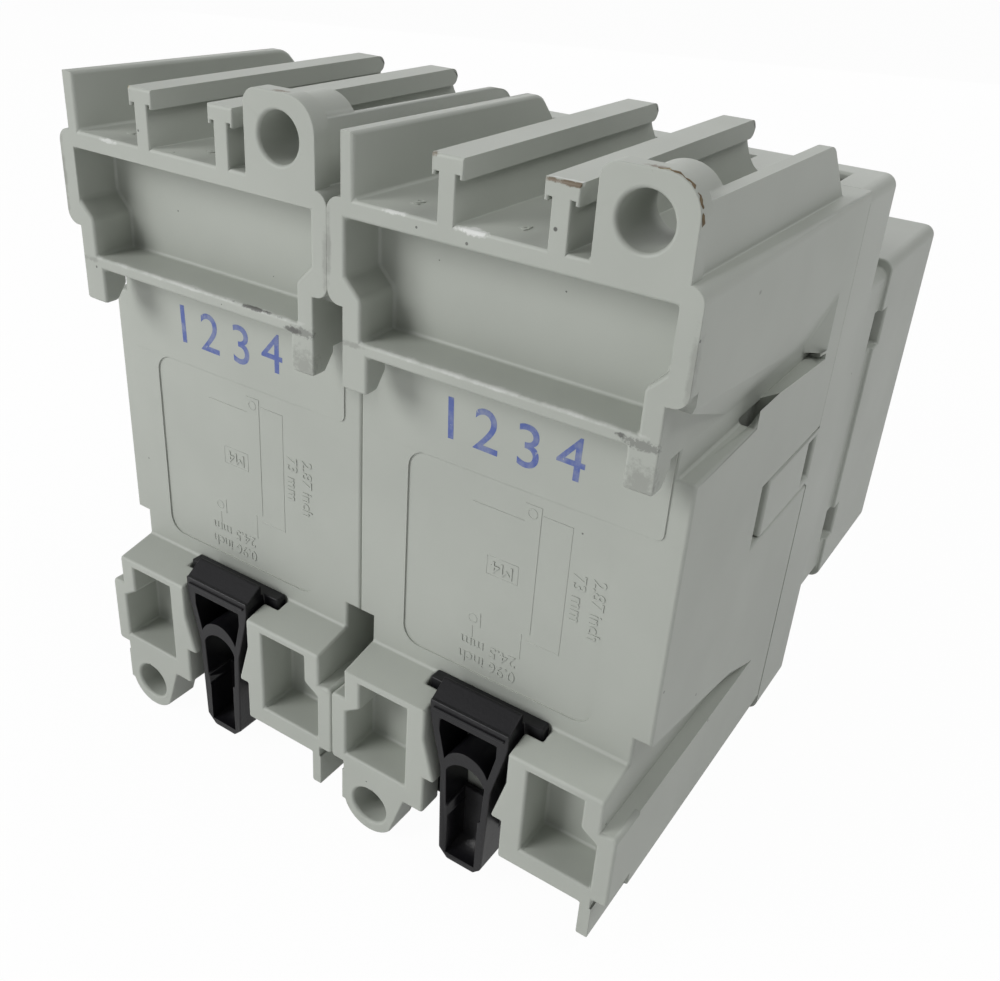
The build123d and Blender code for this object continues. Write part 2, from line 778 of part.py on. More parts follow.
def button(x_middle, travel_room):
    """A push button: cap through the window, rim behind the cover, stem through the frame."""
    with BuildPart() as made:
        rim_front = depth - cover_wall - 0.3 - clearance
        with BuildSketch(at_depth(rim_front - flange_thickness)):
            with Locations((x_middle, button_z)):
                Rectangle(button_width + 2 * flange_rim, button_height + 2 * flange_rim)
        extrude(amount=flange_thickness)
        with BuildSketch(at_depth(rim_front)):
            with Locations((x_middle, button_z)):
                RectangleRounded(button_width, button_height, 1.0)
        extrude(amount=depth + button_proud - rim_front)
        cap_front = made.faces().sort_by(Axis.Y)[0]
        chamfer(cap_front.edges(), 0.5)
        with BuildSketch(at_depth(rim_front - flange_thickness)):
            with Locations((x_middle, button_z)):
                Rectangle(stem_size, stem_size)
        extrude(amount=-(rim_front - flange_thickness - travel_room))
    return made


stem_end = pin_depth + lever_thickness / 2 + 0.3
start_button = button(-button_x, stem_end)
stop_button = button(button_x, stem_end + 2.0)


def coil_spring(x_middle):
    """The spring on a button's stem, between the frame and the button's rim."""
    rim_rear = depth - cover_wall - 0.3 - clearance - flange_thickness
    wire = 0.35
    spring_start = frame_front + wire + play
    spring_length = rim_rear - frame_front - 2 * (wire + play)
    with BuildPart() as made:
        with BuildLine() as path:
            Helix(
                pitch=spring_length / 4,
                height=spring_length,
                radius=3.4,
                center=(x_middle, -spring_start, button_z),
                direction=(0, -1, 0),
            )
        with BuildSketch(Plane(origin=path.line @ 0, z_dir=path.line % 0)):
            Rectangle(2 * wire, 2 * wire)
        sweep(is_frenet=True)
    return made


start_spring = coil_spring(-button_x)
stop_spring = coil_spring(button_x)

# Current dial: knob with a pointer slot, rim behind the cover, shaft to the trip bar
with BuildPart() as current_dial:
    rim_front = depth - cover_wall - 0.3 - clearance
    with BuildSketch(at_depth(rim_front - flange_thickness)):
        with Locations((0, dial_z)):
            Circle(dial_radius + flange_rim)
    extrude(amount=flange_thickness)
    with BuildSketch(at_depth(rim_front)):
        with Locations((0, dial_z)):
            Circle(dial_radius)
    extrude(amount=depth + 0.4 - rim_front)
    with BuildSketch(at_depth(depth - 1.2)):
        with Locations((0, dial_z)):
            Rectangle(1.2, 2 * dial_radius - 2)
    extrude(amount=2, mode=Mode.SUBTRACT)
    with BuildSketch(at_depth(frame_front - 6)):
        with Locations((0, dial_z)):
            Circle(dial_shaft_radius)
    extrude(amount=rim_front - flange_thickness - frame_front + 6)


def terminal_group(cage_bottom, entry_side):
    """Cages and screws of three terminals: entry_side is 1 above and -1 below."""
    middle_z = cage_bottom + cage_height / 2
    cage_middle = cage_rear + cage_depth / 2
    with BuildPart() as cages:
        with BuildSketch(Plane.XY.offset(cage_bottom)):
            with Locations(*[(x, -cage_middle) for x in poles]):
                Rectangle(cage_width, cage_depth)
                Rectangle(cage_width - 2 * cage_wall, cage_depth - 2 * cage_wall, mode=Mode.SUBTRACT)
        extrude(amount=cage_height)
        with BuildSketch(at_depth(cage_rear + cage_depth / 2)):
            with Locations(*[(x, middle_z) for x in poles]):
                Circle(screw_shank_radius + play)
        extrude(amount=cage_depth, mode=Mode.SUBTRACT)
    with BuildPart() as screws:
        head_rear = cage_rear + cage_depth + play
        with BuildSketch(at_depth(head_rear)):
            with Locations(*[(x, middle_z) for x in poles]):
                Circle(screw_head_radius)
        extrude(amount=screw_head_length)
        with BuildSketch(at_depth(head_rear)):
            with Locations(*[(x, middle_z) for x in poles]):
                Circle(screw_shank_radius)
        extrude(amount=-4.5)
        with BuildSketch(at_depth(head_rear + screw_head_length - 0.8)):
            with Locations(*[(x, middle_z) for x in poles]):
                Rectangle(0.8, 2 * screw_head_radius - 1)
                Rectangle(2 * screw_head_radius - 1, 0.8)
        extrude(amount=1, mode=Mode.SUBTRACT)
    return cages, screws


line_cages, line_screws = terminal_group(cage_top_z - cage_height, 1)
load_cages, load_screws = terminal_group(cage_low_z, -1)

# Line contacts: bar from each upper terminal, back over the arc plates, down the rear wall
bar_in_cage = cage_rear + cage_wall + play
bar_rear = inner_back + seat_gap
line_bar_z = cage_top_z - cage_height - play - bar_thickness
pad_front = bar_rear + bar_thickness + pad_thickness
with BuildPart() as line_contacts:
    for x in poles:
        with BuildSketch(Plane.YZ.offset(x - bar_width / 2)):
            with BuildLine():
                Polyline(
                    (-bar_in_cage, cage_top_z - 1),
                    (-bar_in_cage - bar_thickness, cage_top_z - 1),
                    (-bar_in_cage - bar_thickness, line_bar_z),
                    (-bar_rear - bar_thickness, line_bar_z),
                    (-bar_rear - bar_thickness, contact_z + contact_reach - tip_size / 2),
                    (-bar_rear, contact_z + contact_reach - tip_size / 2),
                    (-bar_rear, line_bar_z + bar_thickness),
                    (-bar_in_cage, line_bar_z + bar_thickness),
                    close=True,
                )
            make_face()
        extrude(amount=bar_width)
        with BuildSketch(at_depth(bar_rear + bar_thickness)):
            with Locations((x, contact_z + contact_reach)):
                Rectangle(tip_size, tip_size)
        extrude(amount=pad_thickness)

# Load contacts: lower contact of each pole and its lead to the coil
coil_z = inner_bottom + 11.0
coil_radius = chamber_width / 2 - 0.75
coil_rear = inner_back + 5.0
coil_length = 16.5
yoke_wall = 1.0
load_bar_z = coil_z + coil_radius + yoke_wall + 2 * play + seat_gap
with BuildPart() as load_contacts:
    for x in poles:
        with BuildSketch(Plane.YZ.offset(x - bar_width / 2)):
            with BuildLine():
                Polyline(
                    (-bar_rear, contact_z - contact_reach + tip_size / 2),
                    (-bar_rear, load_bar_z),
                    (-bar_rear - 18, load_bar_z),
                    (-bar_rear - 18, load_bar_z + bar_thickness),
                    (-bar_rear - bar_thickness, load_bar_z + bar_thickness),
                    (-bar_rear - bar_thickness, contact_z - contact_reach + tip_size / 2),
                    close=True,
                )
            make_face()
        extrude(amount=bar_width)
        with BuildSketch(at_depth(bar_rear + bar_thickness)):
            with Locations((x, contact_z - contact_reach)):
                Rectangle(tip_size, tip_size)
        extrude(amount=pad_thickness)

# Load terminal bars: from each lower cage up to the foot of the bimetal strip
bimetal_foot_z = cage_low_z + cage_height + 2.0
with BuildPart() as load_bars:
    for x in poles:
        with BuildSketch(at_depth(bar_in_cage)):
            with Locations((x, (cage_low_z + 1 + bimetal_foot_z + 1.5) / 2)):
                Rectangle(bar_width, bimetal_foot_z + 0.5 - cage_low_z)
        extrude(amount=bar_thickness)

# Contact carrier: one crossbar with a finger into each chamber and a stem to the lever
tip_rear = pad_front + contact_gap
bridge_rear = tip_rear + tip_thickness
carrier_front = pin_depth - lever_thickness / 2 - 0.3
with BuildPart() as contact_carrier:
    with BuildSketch(at_depth(crossbar_rear)):
        with Locations((0, contact_z)):
            Rectangle(2 * (inner_half - 0.6), finger_height)
    extrude(amount=crossbar_depth)
    with BuildSketch(at_depth(pad_front + 1.2)):
        with Locations(*[(x, contact_z) for x in poles]):
            Rectangle(bar_width + 2.2, finger_height)
    extrude(amount=crossbar_rear - pad_front - 1.2)
    with BuildSketch(Plane.XY.offset(contact_z - finger_height)):
        with Locations(*[(x, -bridge_rear - 2.0 + play) for x in poles]):
            Rectangle(bar_width + 2 * play, 4.0)
    extrude(amount=2 * finger_height, mode=Mode.SUBTRACT)
    with BuildSketch(at_depth(crossbar_rear + crossbar_depth)):
        with Locations((0, contact_z)):
            Rectangle(stem_size, stem_size)
    extrude(amount=carrier_front - crossbar_rear - crossbar_depth)

# Contact bridges, with a tip at each end
with BuildPart() as contact_bridges:
    with BuildSketch(at_depth(bridge_rear)):
        with Locations(*[(x, contact_z) for x in poles]):
            Rectangle(bar_width, 2 * contact_reach + tip_size)
    extrude(amount=bridge_thickness)
    with BuildSketch(at_depth(tip_rear)):
        for z in (contact_z - contact_reach, contact_z + contact_reach):
            with Locations(*[(x, z) for x in poles]):
                Rectangle(tip_size, tip_size)
    extrude(amount=tip_thickness)

# Contact springs: bowed leaves that press each bridge towards its contacts
spring_seat = bridge_rear + bridge_thickness + play
spring_room = 4.0 - bridge_thickness - 3 * play
leaf = 0.4
with BuildPart() as contact_springs:
    for x in poles:
        with BuildSketch(Plane.YZ.offset(x - 1.5)):
            with BuildLine():
                ThreePointArc(
                    (-spring_seat, contact_z - 2.4),
                    (-spring_seat - spring_room, contact_z),
                    (-spring_seat, contact_z + 2.4),
                )
                Line((-spring_seat, contact_z + 2.4), (-spring_seat, contact_z + 2.4 - 2 * leaf))
                ThreePointArc(
                    (-spring_seat, contact_z + 2.4 - 2 * leaf),
                    (-spring_seat - spring_room + leaf, contact_z),
                    (-spring_seat, contact_z - 2.4 + 2 * leaf),
                )
                Line((-spring_seat, contact_z - 2.4 + 2 * leaf), (-spring_seat, contact_z - 2.4))
            make_face()
        extrude(amount=3.0)

# Arc plates: a stack above and below the moving contacts of each pole
plate_thickness = 0.8
plate_pitch = 2.4
plate_count = 4
plate_rear = pad_front + 1.5
plate_half = chamber_width / 2 - 0.85
upper_plates = (contact_z + contact_reach + tip_size / 2 + 0.6, line_bar_z - seat_gap)
lower_plates = (load_bar_z + bar_thickness + seat_gap, contact_z - contact_reach - tip_size / 2 - 0.6)
with BuildPart() as arc_plates:
    for low_z, high_z in (upper_plates, lower_plates):
        for count in range(plate_count):
            with BuildSketch(at_depth(plate_rear + count * plate_pitch)):
                with Locations(*[(x, (low_z + high_z) / 2) for x in poles]):
                    Rectangle(2 * plate_half, high_z - low_z)
            extrude(amount=plate_thickness)

# Trip coils, their yokes and plungers
core_radius = 1.6
with BuildPart() as trip_coils:
    with BuildSketch(at_depth(coil_rear)):
        with Locations(*[(x, coil_z) for x in poles]):
            Circle(coil_radius)
            Circle(core_radius + clearance, mode=Mode.SUBTRACT)
    extrude(amount=coil_length)
with BuildPart() as coil_yokes:
    yoke_rear = coil_rear - yoke_wall - play
    yoke_front = coil_rear + coil_length + play
    yoke_low = coil_z - coil_radius - 0.4
    yoke_high = coil_z + coil_radius + play + yoke_wall
    for x in poles:
        with BuildSketch(Plane.YZ.offset(x - coil_radius)):
            with BuildLine():
                Polyline(
                    (-yoke_rear, yoke_low),
                    (-yoke_rear, yoke_high),
                    (-yoke_front - yoke_wall, yoke_high),
                    (-yoke_front - yoke_wall, yoke_low),
                    (-yoke_front, yoke_low),
                    (-yoke_front, yoke_high - yoke_wall),
                    (-yoke_rear - yoke_wall, yoke_high - yoke_wall),
                    (-yoke_rear - yoke_wall, yoke_low),
                    close=True,
                )
            make_face()
        extrude(amount=2 * coil_radius)
    with BuildSketch(at_depth(yoke_front - 1)):
        with Locations(*[(x, coil_z) for x in poles]):
            Circle(core_radius + clearance)
    extrude(amount=yoke_wall + 2, mode=Mode.SUBTRACT)
with BuildPart() as trip_plungers:
    with BuildSketch(at_depth(coil_rear + 2)):
        with Locations(*[(x, coil_z) for x in poles]):
            Circle(core_radius)
    extrude(amount=coil_length + 3)

# Bimetal strips standing on the load bars, with their heaters
bimetal_thickness = 1.0
bimetal_width = 5.0
bimetal_rear = bar_in_cage + bar_thickness + seat_gap
bimetal_top = contact_z - 5.0
with BuildPart() as bimetal_strips:
    with BuildSketch(at_depth(bimetal_rear)):
        with Locations(*[(x, (bimetal_foot_z + bimetal_top) / 2) for x in poles]):
            Rectangle(bimetal_thickness, bimetal_top - bimetal_foot_z)
    extrude(amount=bimetal_width)
heater_gap = 0.4
heater_wall = 0.9
with BuildPart() as heaters:
    heater_turns = 5
    turn_height = 1.6
    turn_gap = 0.6
    for x in poles:
        with BuildSketch(Plane.XY.offset(bimetal_foot_z + 3)):
            with Locations((x, -bimetal_rear - bimetal_width / 2)):
                Rectangle(bimetal_thickness + 2 * heater_gap + heater_wall, bimetal_width + 2 * heater_gap)
                Rectangle(bimetal_thickness + 2 * heater_gap, bimetal_width + heater_gap, mode=Mode.SUBTRACT)
        extrude(amount=heater_turns * (turn_height + turn_gap) - turn_gap)
        for turn in range(heater_turns):
            turn_z = bimetal_foot_z + 3 + turn * (turn_height + turn_gap)
            with BuildSketch(Plane.XY.offset(turn_z)):
                with Locations((x, -bimetal_rear - bimetal_width / 2)):
                    Rectangle(
                        bimetal_thickness + 2 * (heater_gap + heater_wall),
                        bimetal_width + 2 * heater_gap + heater_wall,
                    )
                    Rectangle(bimetal_thickness + 2 * heater_gap, bimetal_width + heater_gap, mode=Mode.SUBTRACT)
            extrude(amount=turn_height)

# Trip slide: one bar across the three strips, with a finger beside each
slide_travel = 1.5
slide_rear = bimetal_rear + bimetal_width + clearance + 0.1
slide_height = 3.0
with BuildPart() as trip_slide:
    with BuildSketch(at_depth(slide_rear)):
        with Locations((0, bimetal_top - slide_height / 2)):
            Rectangle(2 * (inner_half - slide_travel), slide_height)
    extrude(amount=1.4)
    with BuildSketch(at_depth(bimetal_rear + 1)):
        with Locations(*[(x + bimetal_thickness / 2 + clearance + 0.6, bimetal_top - 1.0) for x in poles]):
            Rectangle(1.2, 2.0)
    extrude(amount=slide_rear - bimetal_rear - 1)

# Mechanism frame: a sheet-metal box round the lever, with holes for both stems
with BuildPart() as mechanism_frame:
    frame_half = half_width - cover_wall - 0.3
    frame_middle = (frame_rear + frame_front) / 2
    with BuildSketch(Plane.XY.offset(frame_bottom)):
        with Locations((0, -frame_middle)):
            Rectangle(2 * frame_half, frame_front - frame_rear)
            Rectangle(
                2 * (frame_half - frame_wall),
                frame_front - frame_rear - 2 * frame_wall,
                mode=Mode.SUBTRACT,
            )
    extrude(amount=frame_top - frame_bottom)
    with BuildSketch(at_depth(frame_front - 2)):
        with Locations((-button_x, button_z), (button_x, button_z)):
            Rectangle(stem_size + 2 * clearance, stem_size + 2 * clearance)
        with Locations((0, dial_z)):
            Circle(dial_shaft_radius + clearance)
    extrude(amount=4, mode=Mode.SUBTRACT)
    with BuildSketch(at_depth(frame_rear - 1)):
        with Locations((0, contact_z)):
            Rectangle(stem_size + 2 * clearance, stem_size + 2 * clearance)
    extrude(amount=3, mode=Mode.SUBTRACT)
    with BuildSketch(Plane.YZ.offset(-half_width)):
        with Locations((-pin_depth, pin_z)):
            Circle(pin_radius + play)
    extrude(amount=width, mode=Mode.SUBTRACT)

# Lever between the start button and the carrier, on its pin
with BuildPart() as latch_lever:
    lever_left = -button_x - stem_size / 2
    lever_length = button_x + stem_size
    with BuildSketch(Plane.YZ.offset(lever_left)):
        with Locations((-pin_depth, pin_z)):
            Circle(pin_radius + 1.4)
        with Locations((-pin_depth, (pin_z + button_z + stem_size / 2 + 0.5) / 2)):
            Rectangle(lever_thickness, button_z + stem_size / 2 + 0.5 - pin_z)
        with Locations((-pin_depth, pin_z)):
            Circle(pin_radius + play, mode=Mode.SUBTRACT)
    extrude(amount=lever_length)
with BuildPart() as latch_pin:
    with BuildSketch(Plane.YZ.offset(-frame_half)):
        with Locations((-pin_depth, pin_z)):
            Circle(pin_radius)
    extrude(amount=2 * frame_half)

pieces = {
    "rear_housing": rear_housing,
    "front_cover": front_cover,
    "din_clip": din_clip,
    "start_button": start_button,
    "stop_button": stop_button,
    "start_spring": start_spring,
    "stop_spring": stop_spring,
    "current_dial": current_dial,
    "line_clamp_cages": line_cages,
    "line_screws": line_screws,
    "load_clamp_cages": load_cages,
    "load_screws": load_screws,
    "line_contacts": line_contacts,
    "load_contacts": load_contacts,
    "load_bars": load_bars,
    "contact_carrier": contact_carrier,
    "contact_bridges": contact_bridges,
    "contact_springs": contact_springs,
    "arc_plates": arc_plates,
    "trip_coils": trip_coils,
    "coil_yokes": coil_yokes,
    "trip_plungers": trip_plungers,
    "bimetal_strips": bimetal_strips,
    "bimetal_heaters": heaters,
    "trip_slide": trip_slide,
    "mechanism_frame": mechanism_frame,
    "latch_lever": latch_lever,
    "latch_pin": latch_pin,
}
for side, middle in (("left", -half_width), ("right", half_width)):
    for name, piece in pieces.items():
        placed = piece.part.moved(Location((middle, rail_recess, -rail_middle)))
        placed.label = f"{side}_{name}"
        export_step(placed, f"parts/{side}_{name}.step")
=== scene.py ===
import json
import math
import bpy
import bmesh
from mathutils import Matrix, Vector


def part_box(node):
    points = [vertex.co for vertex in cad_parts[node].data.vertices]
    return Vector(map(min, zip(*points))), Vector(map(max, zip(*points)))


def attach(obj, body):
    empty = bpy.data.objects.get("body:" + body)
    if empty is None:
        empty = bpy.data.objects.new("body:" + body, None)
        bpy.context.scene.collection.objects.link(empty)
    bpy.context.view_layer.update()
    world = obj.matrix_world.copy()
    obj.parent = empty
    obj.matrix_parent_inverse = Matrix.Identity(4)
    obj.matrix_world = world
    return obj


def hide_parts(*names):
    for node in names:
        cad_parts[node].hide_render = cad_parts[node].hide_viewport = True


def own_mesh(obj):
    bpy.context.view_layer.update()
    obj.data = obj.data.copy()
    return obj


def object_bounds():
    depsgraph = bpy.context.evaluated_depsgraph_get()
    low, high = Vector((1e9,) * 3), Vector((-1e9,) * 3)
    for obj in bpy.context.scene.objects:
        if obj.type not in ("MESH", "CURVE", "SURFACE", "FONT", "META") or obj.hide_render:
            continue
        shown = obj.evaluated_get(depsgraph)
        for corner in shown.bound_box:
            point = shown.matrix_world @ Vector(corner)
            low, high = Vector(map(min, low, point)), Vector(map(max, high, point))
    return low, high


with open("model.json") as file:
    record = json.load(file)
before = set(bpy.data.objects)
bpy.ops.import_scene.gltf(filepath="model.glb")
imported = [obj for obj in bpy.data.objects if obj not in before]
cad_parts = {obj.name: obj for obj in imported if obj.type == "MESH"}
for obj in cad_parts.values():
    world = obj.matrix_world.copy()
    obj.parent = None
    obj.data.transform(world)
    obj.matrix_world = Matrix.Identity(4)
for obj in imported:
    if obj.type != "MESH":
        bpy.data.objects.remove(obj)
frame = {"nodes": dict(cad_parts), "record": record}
cadLow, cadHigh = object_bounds()
mm = 0.001
sides = {"left": -17.8, "right": 17.8}  # middle of each breaker
rearPlane = 5.0  # the hooks' rear faces
panelPlane = 0.0  # the panel that the rail lies on
footLevel = -40.8


def deselectAll():
    if bpy.context.object and bpy.context.object.mode != "OBJECT":
        bpy.ops.object.mode_set(mode="OBJECT")
    bpy.ops.object.select_all(action="DESELECT")


def makeActive(piece):
    deselectAll()
    piece.select_set(True)
    bpy.context.view_layer.objects.active = piece


def bakePlace(piece):
    makeActive(piece)
    bpy.ops.object.transform_apply(location=True, rotation=True, scale=True)


def addModifier(piece, kind, **values):
    makeActive(piece)
    modifier = piece.modifiers.new(kind.title(), kind)
    for key, value in values.items():
        setattr(modifier, key, value)
    bpy.ops.object.modifier_apply(modifier=modifier.name)


def dress(piece, body, material):
    piece.data.materials.clear()
    piece.data.materials.append(material)
    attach(piece, body)


def joinPieces(name, pieces):
    makeActive(pieces[0])
    for piece in pieces:
        piece.select_set(True)
    bpy.ops.object.join()
    joined = bpy.context.object
    joined.name = name
    joined.data.name = name
    bakePlace(joined)
    return joined


# Node trees: every pattern reads Object coordinates, in metres
def startMaterial(name, **sockets):
    material = bpy.data.materials.new(name)
    material.use_nodes = True
    shader = material.node_tree.nodes["Principled BSDF"]
    for key, value in sockets.items():
        shader.inputs[key.replace("_", " ")].default_value = value
    return material, material.node_tree.nodes, material.node_tree.links, shader


def noise(nodes, links, scale, detail=3.0, roughness=0.55, stretch=None):
    place = nodes.new("ShaderNodeTexCoord")
    texture = nodes.new("ShaderNodeTexNoise")
    texture.inputs["Scale"].default_value = scale
    texture.inputs["Detail"].default_value = detail
    texture.inputs["Roughness"].default_value = roughness
    if stretch:
        mapping = nodes.new("ShaderNodeMapping")
        mapping.inputs["Scale"].default_value = stretch
        links.new(place.outputs["Object"], mapping.inputs["Vector"])
        links.new(mapping.outputs["Vector"], texture.inputs["Vector"])
    else:
        links.new(place.outputs["Object"], texture.inputs["Vector"])
    return texture.outputs["Fac"]


def ramp(nodes, links, value, low, high):
    stops = nodes.new("ShaderNodeValToRGB")
    stops.color_ramp.elements[0].position = low
    stops.color_ramp.elements[1].position = high
    links.new(value, stops.inputs["Fac"])
    return stops.outputs["Color"]


def mixColours(nodes, links, factor, first, second):
    mix = nodes.new("ShaderNodeMix")
    mix.data_type = "RGBA"
    for socket, value in ((mix.inputs[0], factor), (mix.inputs[6], first), (mix.inputs[7], second)):
        if hasattr(value, "links"):
            links.new(value, socket)
        else:
            socket.default_value = value
    return mix.outputs[2]


def mathNode(nodes, links, operation, first, second=0.5, third=0.0):
    node = nodes.new("ShaderNodeMath")
    node.operation = operation
    for socket, value in zip(node.inputs, (first, second, third)):
        if hasattr(value, "links"):
            links.new(value, socket)
        else:
            socket.default_value = value
    return node.outputs[0]


def bump(nodes, links, shader, height, strength, distance):
    node = nodes.new("ShaderNodeBump")
    node.inputs["Strength"].default_value = strength
    node.inputs["Distance"].default_value = distance
    links.new(height, node.inputs["Height"])
    links.new(node.outputs["Normal"], shader.inputs["Normal"])


# A soft-edged mark at one place, broken up by noise; grain 0 leaves it whole
def mark(nodes, links, centre, radii, edge, grain):
    place = nodes.new("ShaderNodeTexCoord")
    mapping = nodes.new("ShaderNodeMapping")
    mapping.inputs["Location"].default_value = [-c / r for c, r in zip(centre, radii)]
    mapping.inputs["Scale"].default_value = [1 / (r * mm) for r in radii]
    links.new(place.outputs["Object"], mapping.inputs["Vector"])
    length = nodes.new("ShaderNodeVectorMath")
    length.operation = "LENGTH"
    links.new(mapping.outputs["Vector"], length.inputs[0])
    shade = mathNode(nodes, links, "SUBTRACT", 1.0, length.outputs["Value"])
    if grain:
        broken = mathNode(nodes, links, "MULTIPLY_ADD", noise(nodes, links, grain, 4.0, 0.7), 2.4, -1.2)
        shade = mathNode(nodes, links, "ADD", shade, broken)
    return ramp(nodes, links, shade, 0.05, 0.05 + edge)


def mouldedPlastic(name, colour, roughness=0.48, marks=(), specks=0.0, grainDepth=0.00003, gloss=0.5):
    material, nodes, links, shader = startMaterial(name, Roughness=roughness, Specular_IOR_Level=gloss)
    deep = [c * 0.95 for c in colour] + [1]
    lit = [min(1, c * 1.04) for c in colour] + [1]
    patches = ramp(nodes, links, noise(nodes, links, 42.0, 3.0), 0.35, 0.65)
    shade = mixColours(nodes, links, patches, deep, lit)
    flowLines = noise(nodes, links, 160.0, 2.0, 0.5, (1, 1, 0.25))
    flow = ramp(nodes, links, flowLines, 0.45, 0.8)
    shade = mixColours(nodes, links, mathNode(nodes, links, "MULTIPLY", flow, 0.25), shade, deep)
    if specks:
        dots = nodes.new("ShaderNodeTexVoronoi")
        dots.inputs["Scale"].default_value = 190.0
        place = nodes.new("ShaderNodeTexCoord")
        links.new(place.outputs["Object"], dots.inputs["Vector"])
        near = mathNode(nodes, links, "LESS_THAN", dots.outputs["Distance"], 0.028)
        few = mathNode(nodes, links, "GREATER_THAN", dots.outputs["Color"], 0.62)
        speck = mathNode(nodes, links, "MULTIPLY", mathNode(nodes, links, "MULTIPLY", near, few), specks)
        shade = mixColours(nodes, links, speck, shade, [c * 0.16 for c in colour] + [1])
    for spot in marks:
        shape = mark(nodes, links, spot["at"], spot["size"], spot["edge"], spot["grain"])
        amount = mathNode(nodes, links, "MULTIPLY", shape, spot["amount"])
        shade = mixColours(nodes, links, amount, shade, spot["tint"])
    links.new(shade, shader.inputs["Base Color"])
    sheen = mathNode(nodes, links, "MULTIPLY_ADD", noise(nodes, links, 60.0, 2.0), 0.14, roughness - 0.07)
    links.new(sheen, shader.inputs["Roughness"])
    coarse, fine = noise(nodes, links, 300.0, 2.0), noise(nodes, links, 2600.0, 2.0)
    grain = mathNode(nodes, links, "MULTIPLY_ADD", coarse, 1.2, fine)
    bump(nodes, links, shader, grain, 0.25, grainDepth)
    return material


def platedMetal(name, colour, roughness=0.32, brushed=(1, 1, 1)):
    material, nodes, links, shader = startMaterial(name, Metallic=1.0, Roughness=roughness)
    shade = mixColours(nodes, links, ramp(nodes, links, noise(nodes, links, 90.0, 4.0), 0.3, 0.7),
                       [c * 0.82 for c in colour] + [1], list(colour) + [1])
    links.new(shade, shader.inputs["Base Color"])
    lines = noise(nodes, links, 1200.0, 2.0, 0.5, brushed)
    sheen = mathNode(nodes, links, "MULTIPLY_ADD", lines, 0.2, roughness - 0.1)
    links.new(sheen, shader.inputs["Roughness"])
    bump(nodes, links, shader, lines, 0.15, 0.00005)
    return material


def stampInk(name, colour, under):
    material, nodes, links, shader = startMaterial(name, Roughness=0.5)
    thin = ramp(nodes, links, noise(nodes, links, 700.0, 4.0, 0.7), 0.42, 0.72)
    light = [0.55 * c + 0.45 * u for c, u in zip(colour, under)] + [1]
    shade = mixColours(nodes, links, thin, list(colour) + [1], light)
    bare = ramp(nodes, links, noise(nodes, links, 1500.0, 3.0, 0.7), 0.66, 0.72)
    links.new(mixColours(nodes, links, bare, shade, list(under) + [1]), shader.inputs["Base Color"])
    bump(nodes, links, shader, thin, 0.2, 0.00002)
    return material


tints = {
    "grey": (0.43, 0.452, 0.412),
    "brown": (0.115, 0.075, 0.035, 1),
    "tan": (0.36, 0.31, 0.20, 1),
    "chalk": (0.70, 0.71, 0.69, 1),
    "soot": (0.075, 0.075, 0.07, 1),
    "smudgeAndShade": (0.22, 0.225, 0.205, 1),
    "ink": (0.085, 0.125, 0.36),
}


# A mark of wear or of painted shade: x from the breaker's middle, depth from the rear plane, height from
# the foot, sizes in mm
def placed(middle, x, depth, height, size, tint, amount, edge=0.5, grain=900.0):
    return {"at": (middle + x, rearPlane - depth, footLevel + height), "size": size, "tint": tints[tint],
            "amount": amount, "edge": edge, "grain": grain}


def handlingMarksAndRimShade(middle, own):
    shared = [
        placed(middle, -14.8, 0.0, 55.8, (2.0, 1.5, 2.2), "smudgeAndShade", 0.5, 0.6, 2300.0),
        placed(middle, -14.6, 0.0, 59.2, (2.1, 0.7, 0.55), "soot", 0.5, 0.35, 2600.0),
        placed(middle, -12.4, 0.6, 80.4, (1.3, 0.5, 0.5), "brown", 0.75, 0.4, 1500.0),
        placed(middle, -9.5, 3.6, 80.4, (1.5, 0.5, 0.6), "chalk", 0.85, 0.4, 1700.0),
        placed(middle, -0.1, 0.1, 60.0, (16.5, 0.55, 0.3), "chalk", 0.5, 0.6, 500.0),
        placed(middle, 14.8, 0.0, 59.6, (1.5, 0.7, 0.35), "smudgeAndShade", 0.5, 0.5, 1500.0),
        # Painted shade: dark strips down both sides of the rear rim, in the seam where the two breakers
        # meet and beside the outer side
        placed(middle, 17.6, 0.0, 68.0, (0.35, 1.5, 5.0), "smudgeAndShade", 0.55, 0.7, 700.0),
        placed(middle, -17.6, 0.0, 66.0, (0.35, 1.5, 5.0), "smudgeAndShade", 0.45, 0.7, 700.0),
    ]
    return shared + [placed(middle, *row) for row in own]


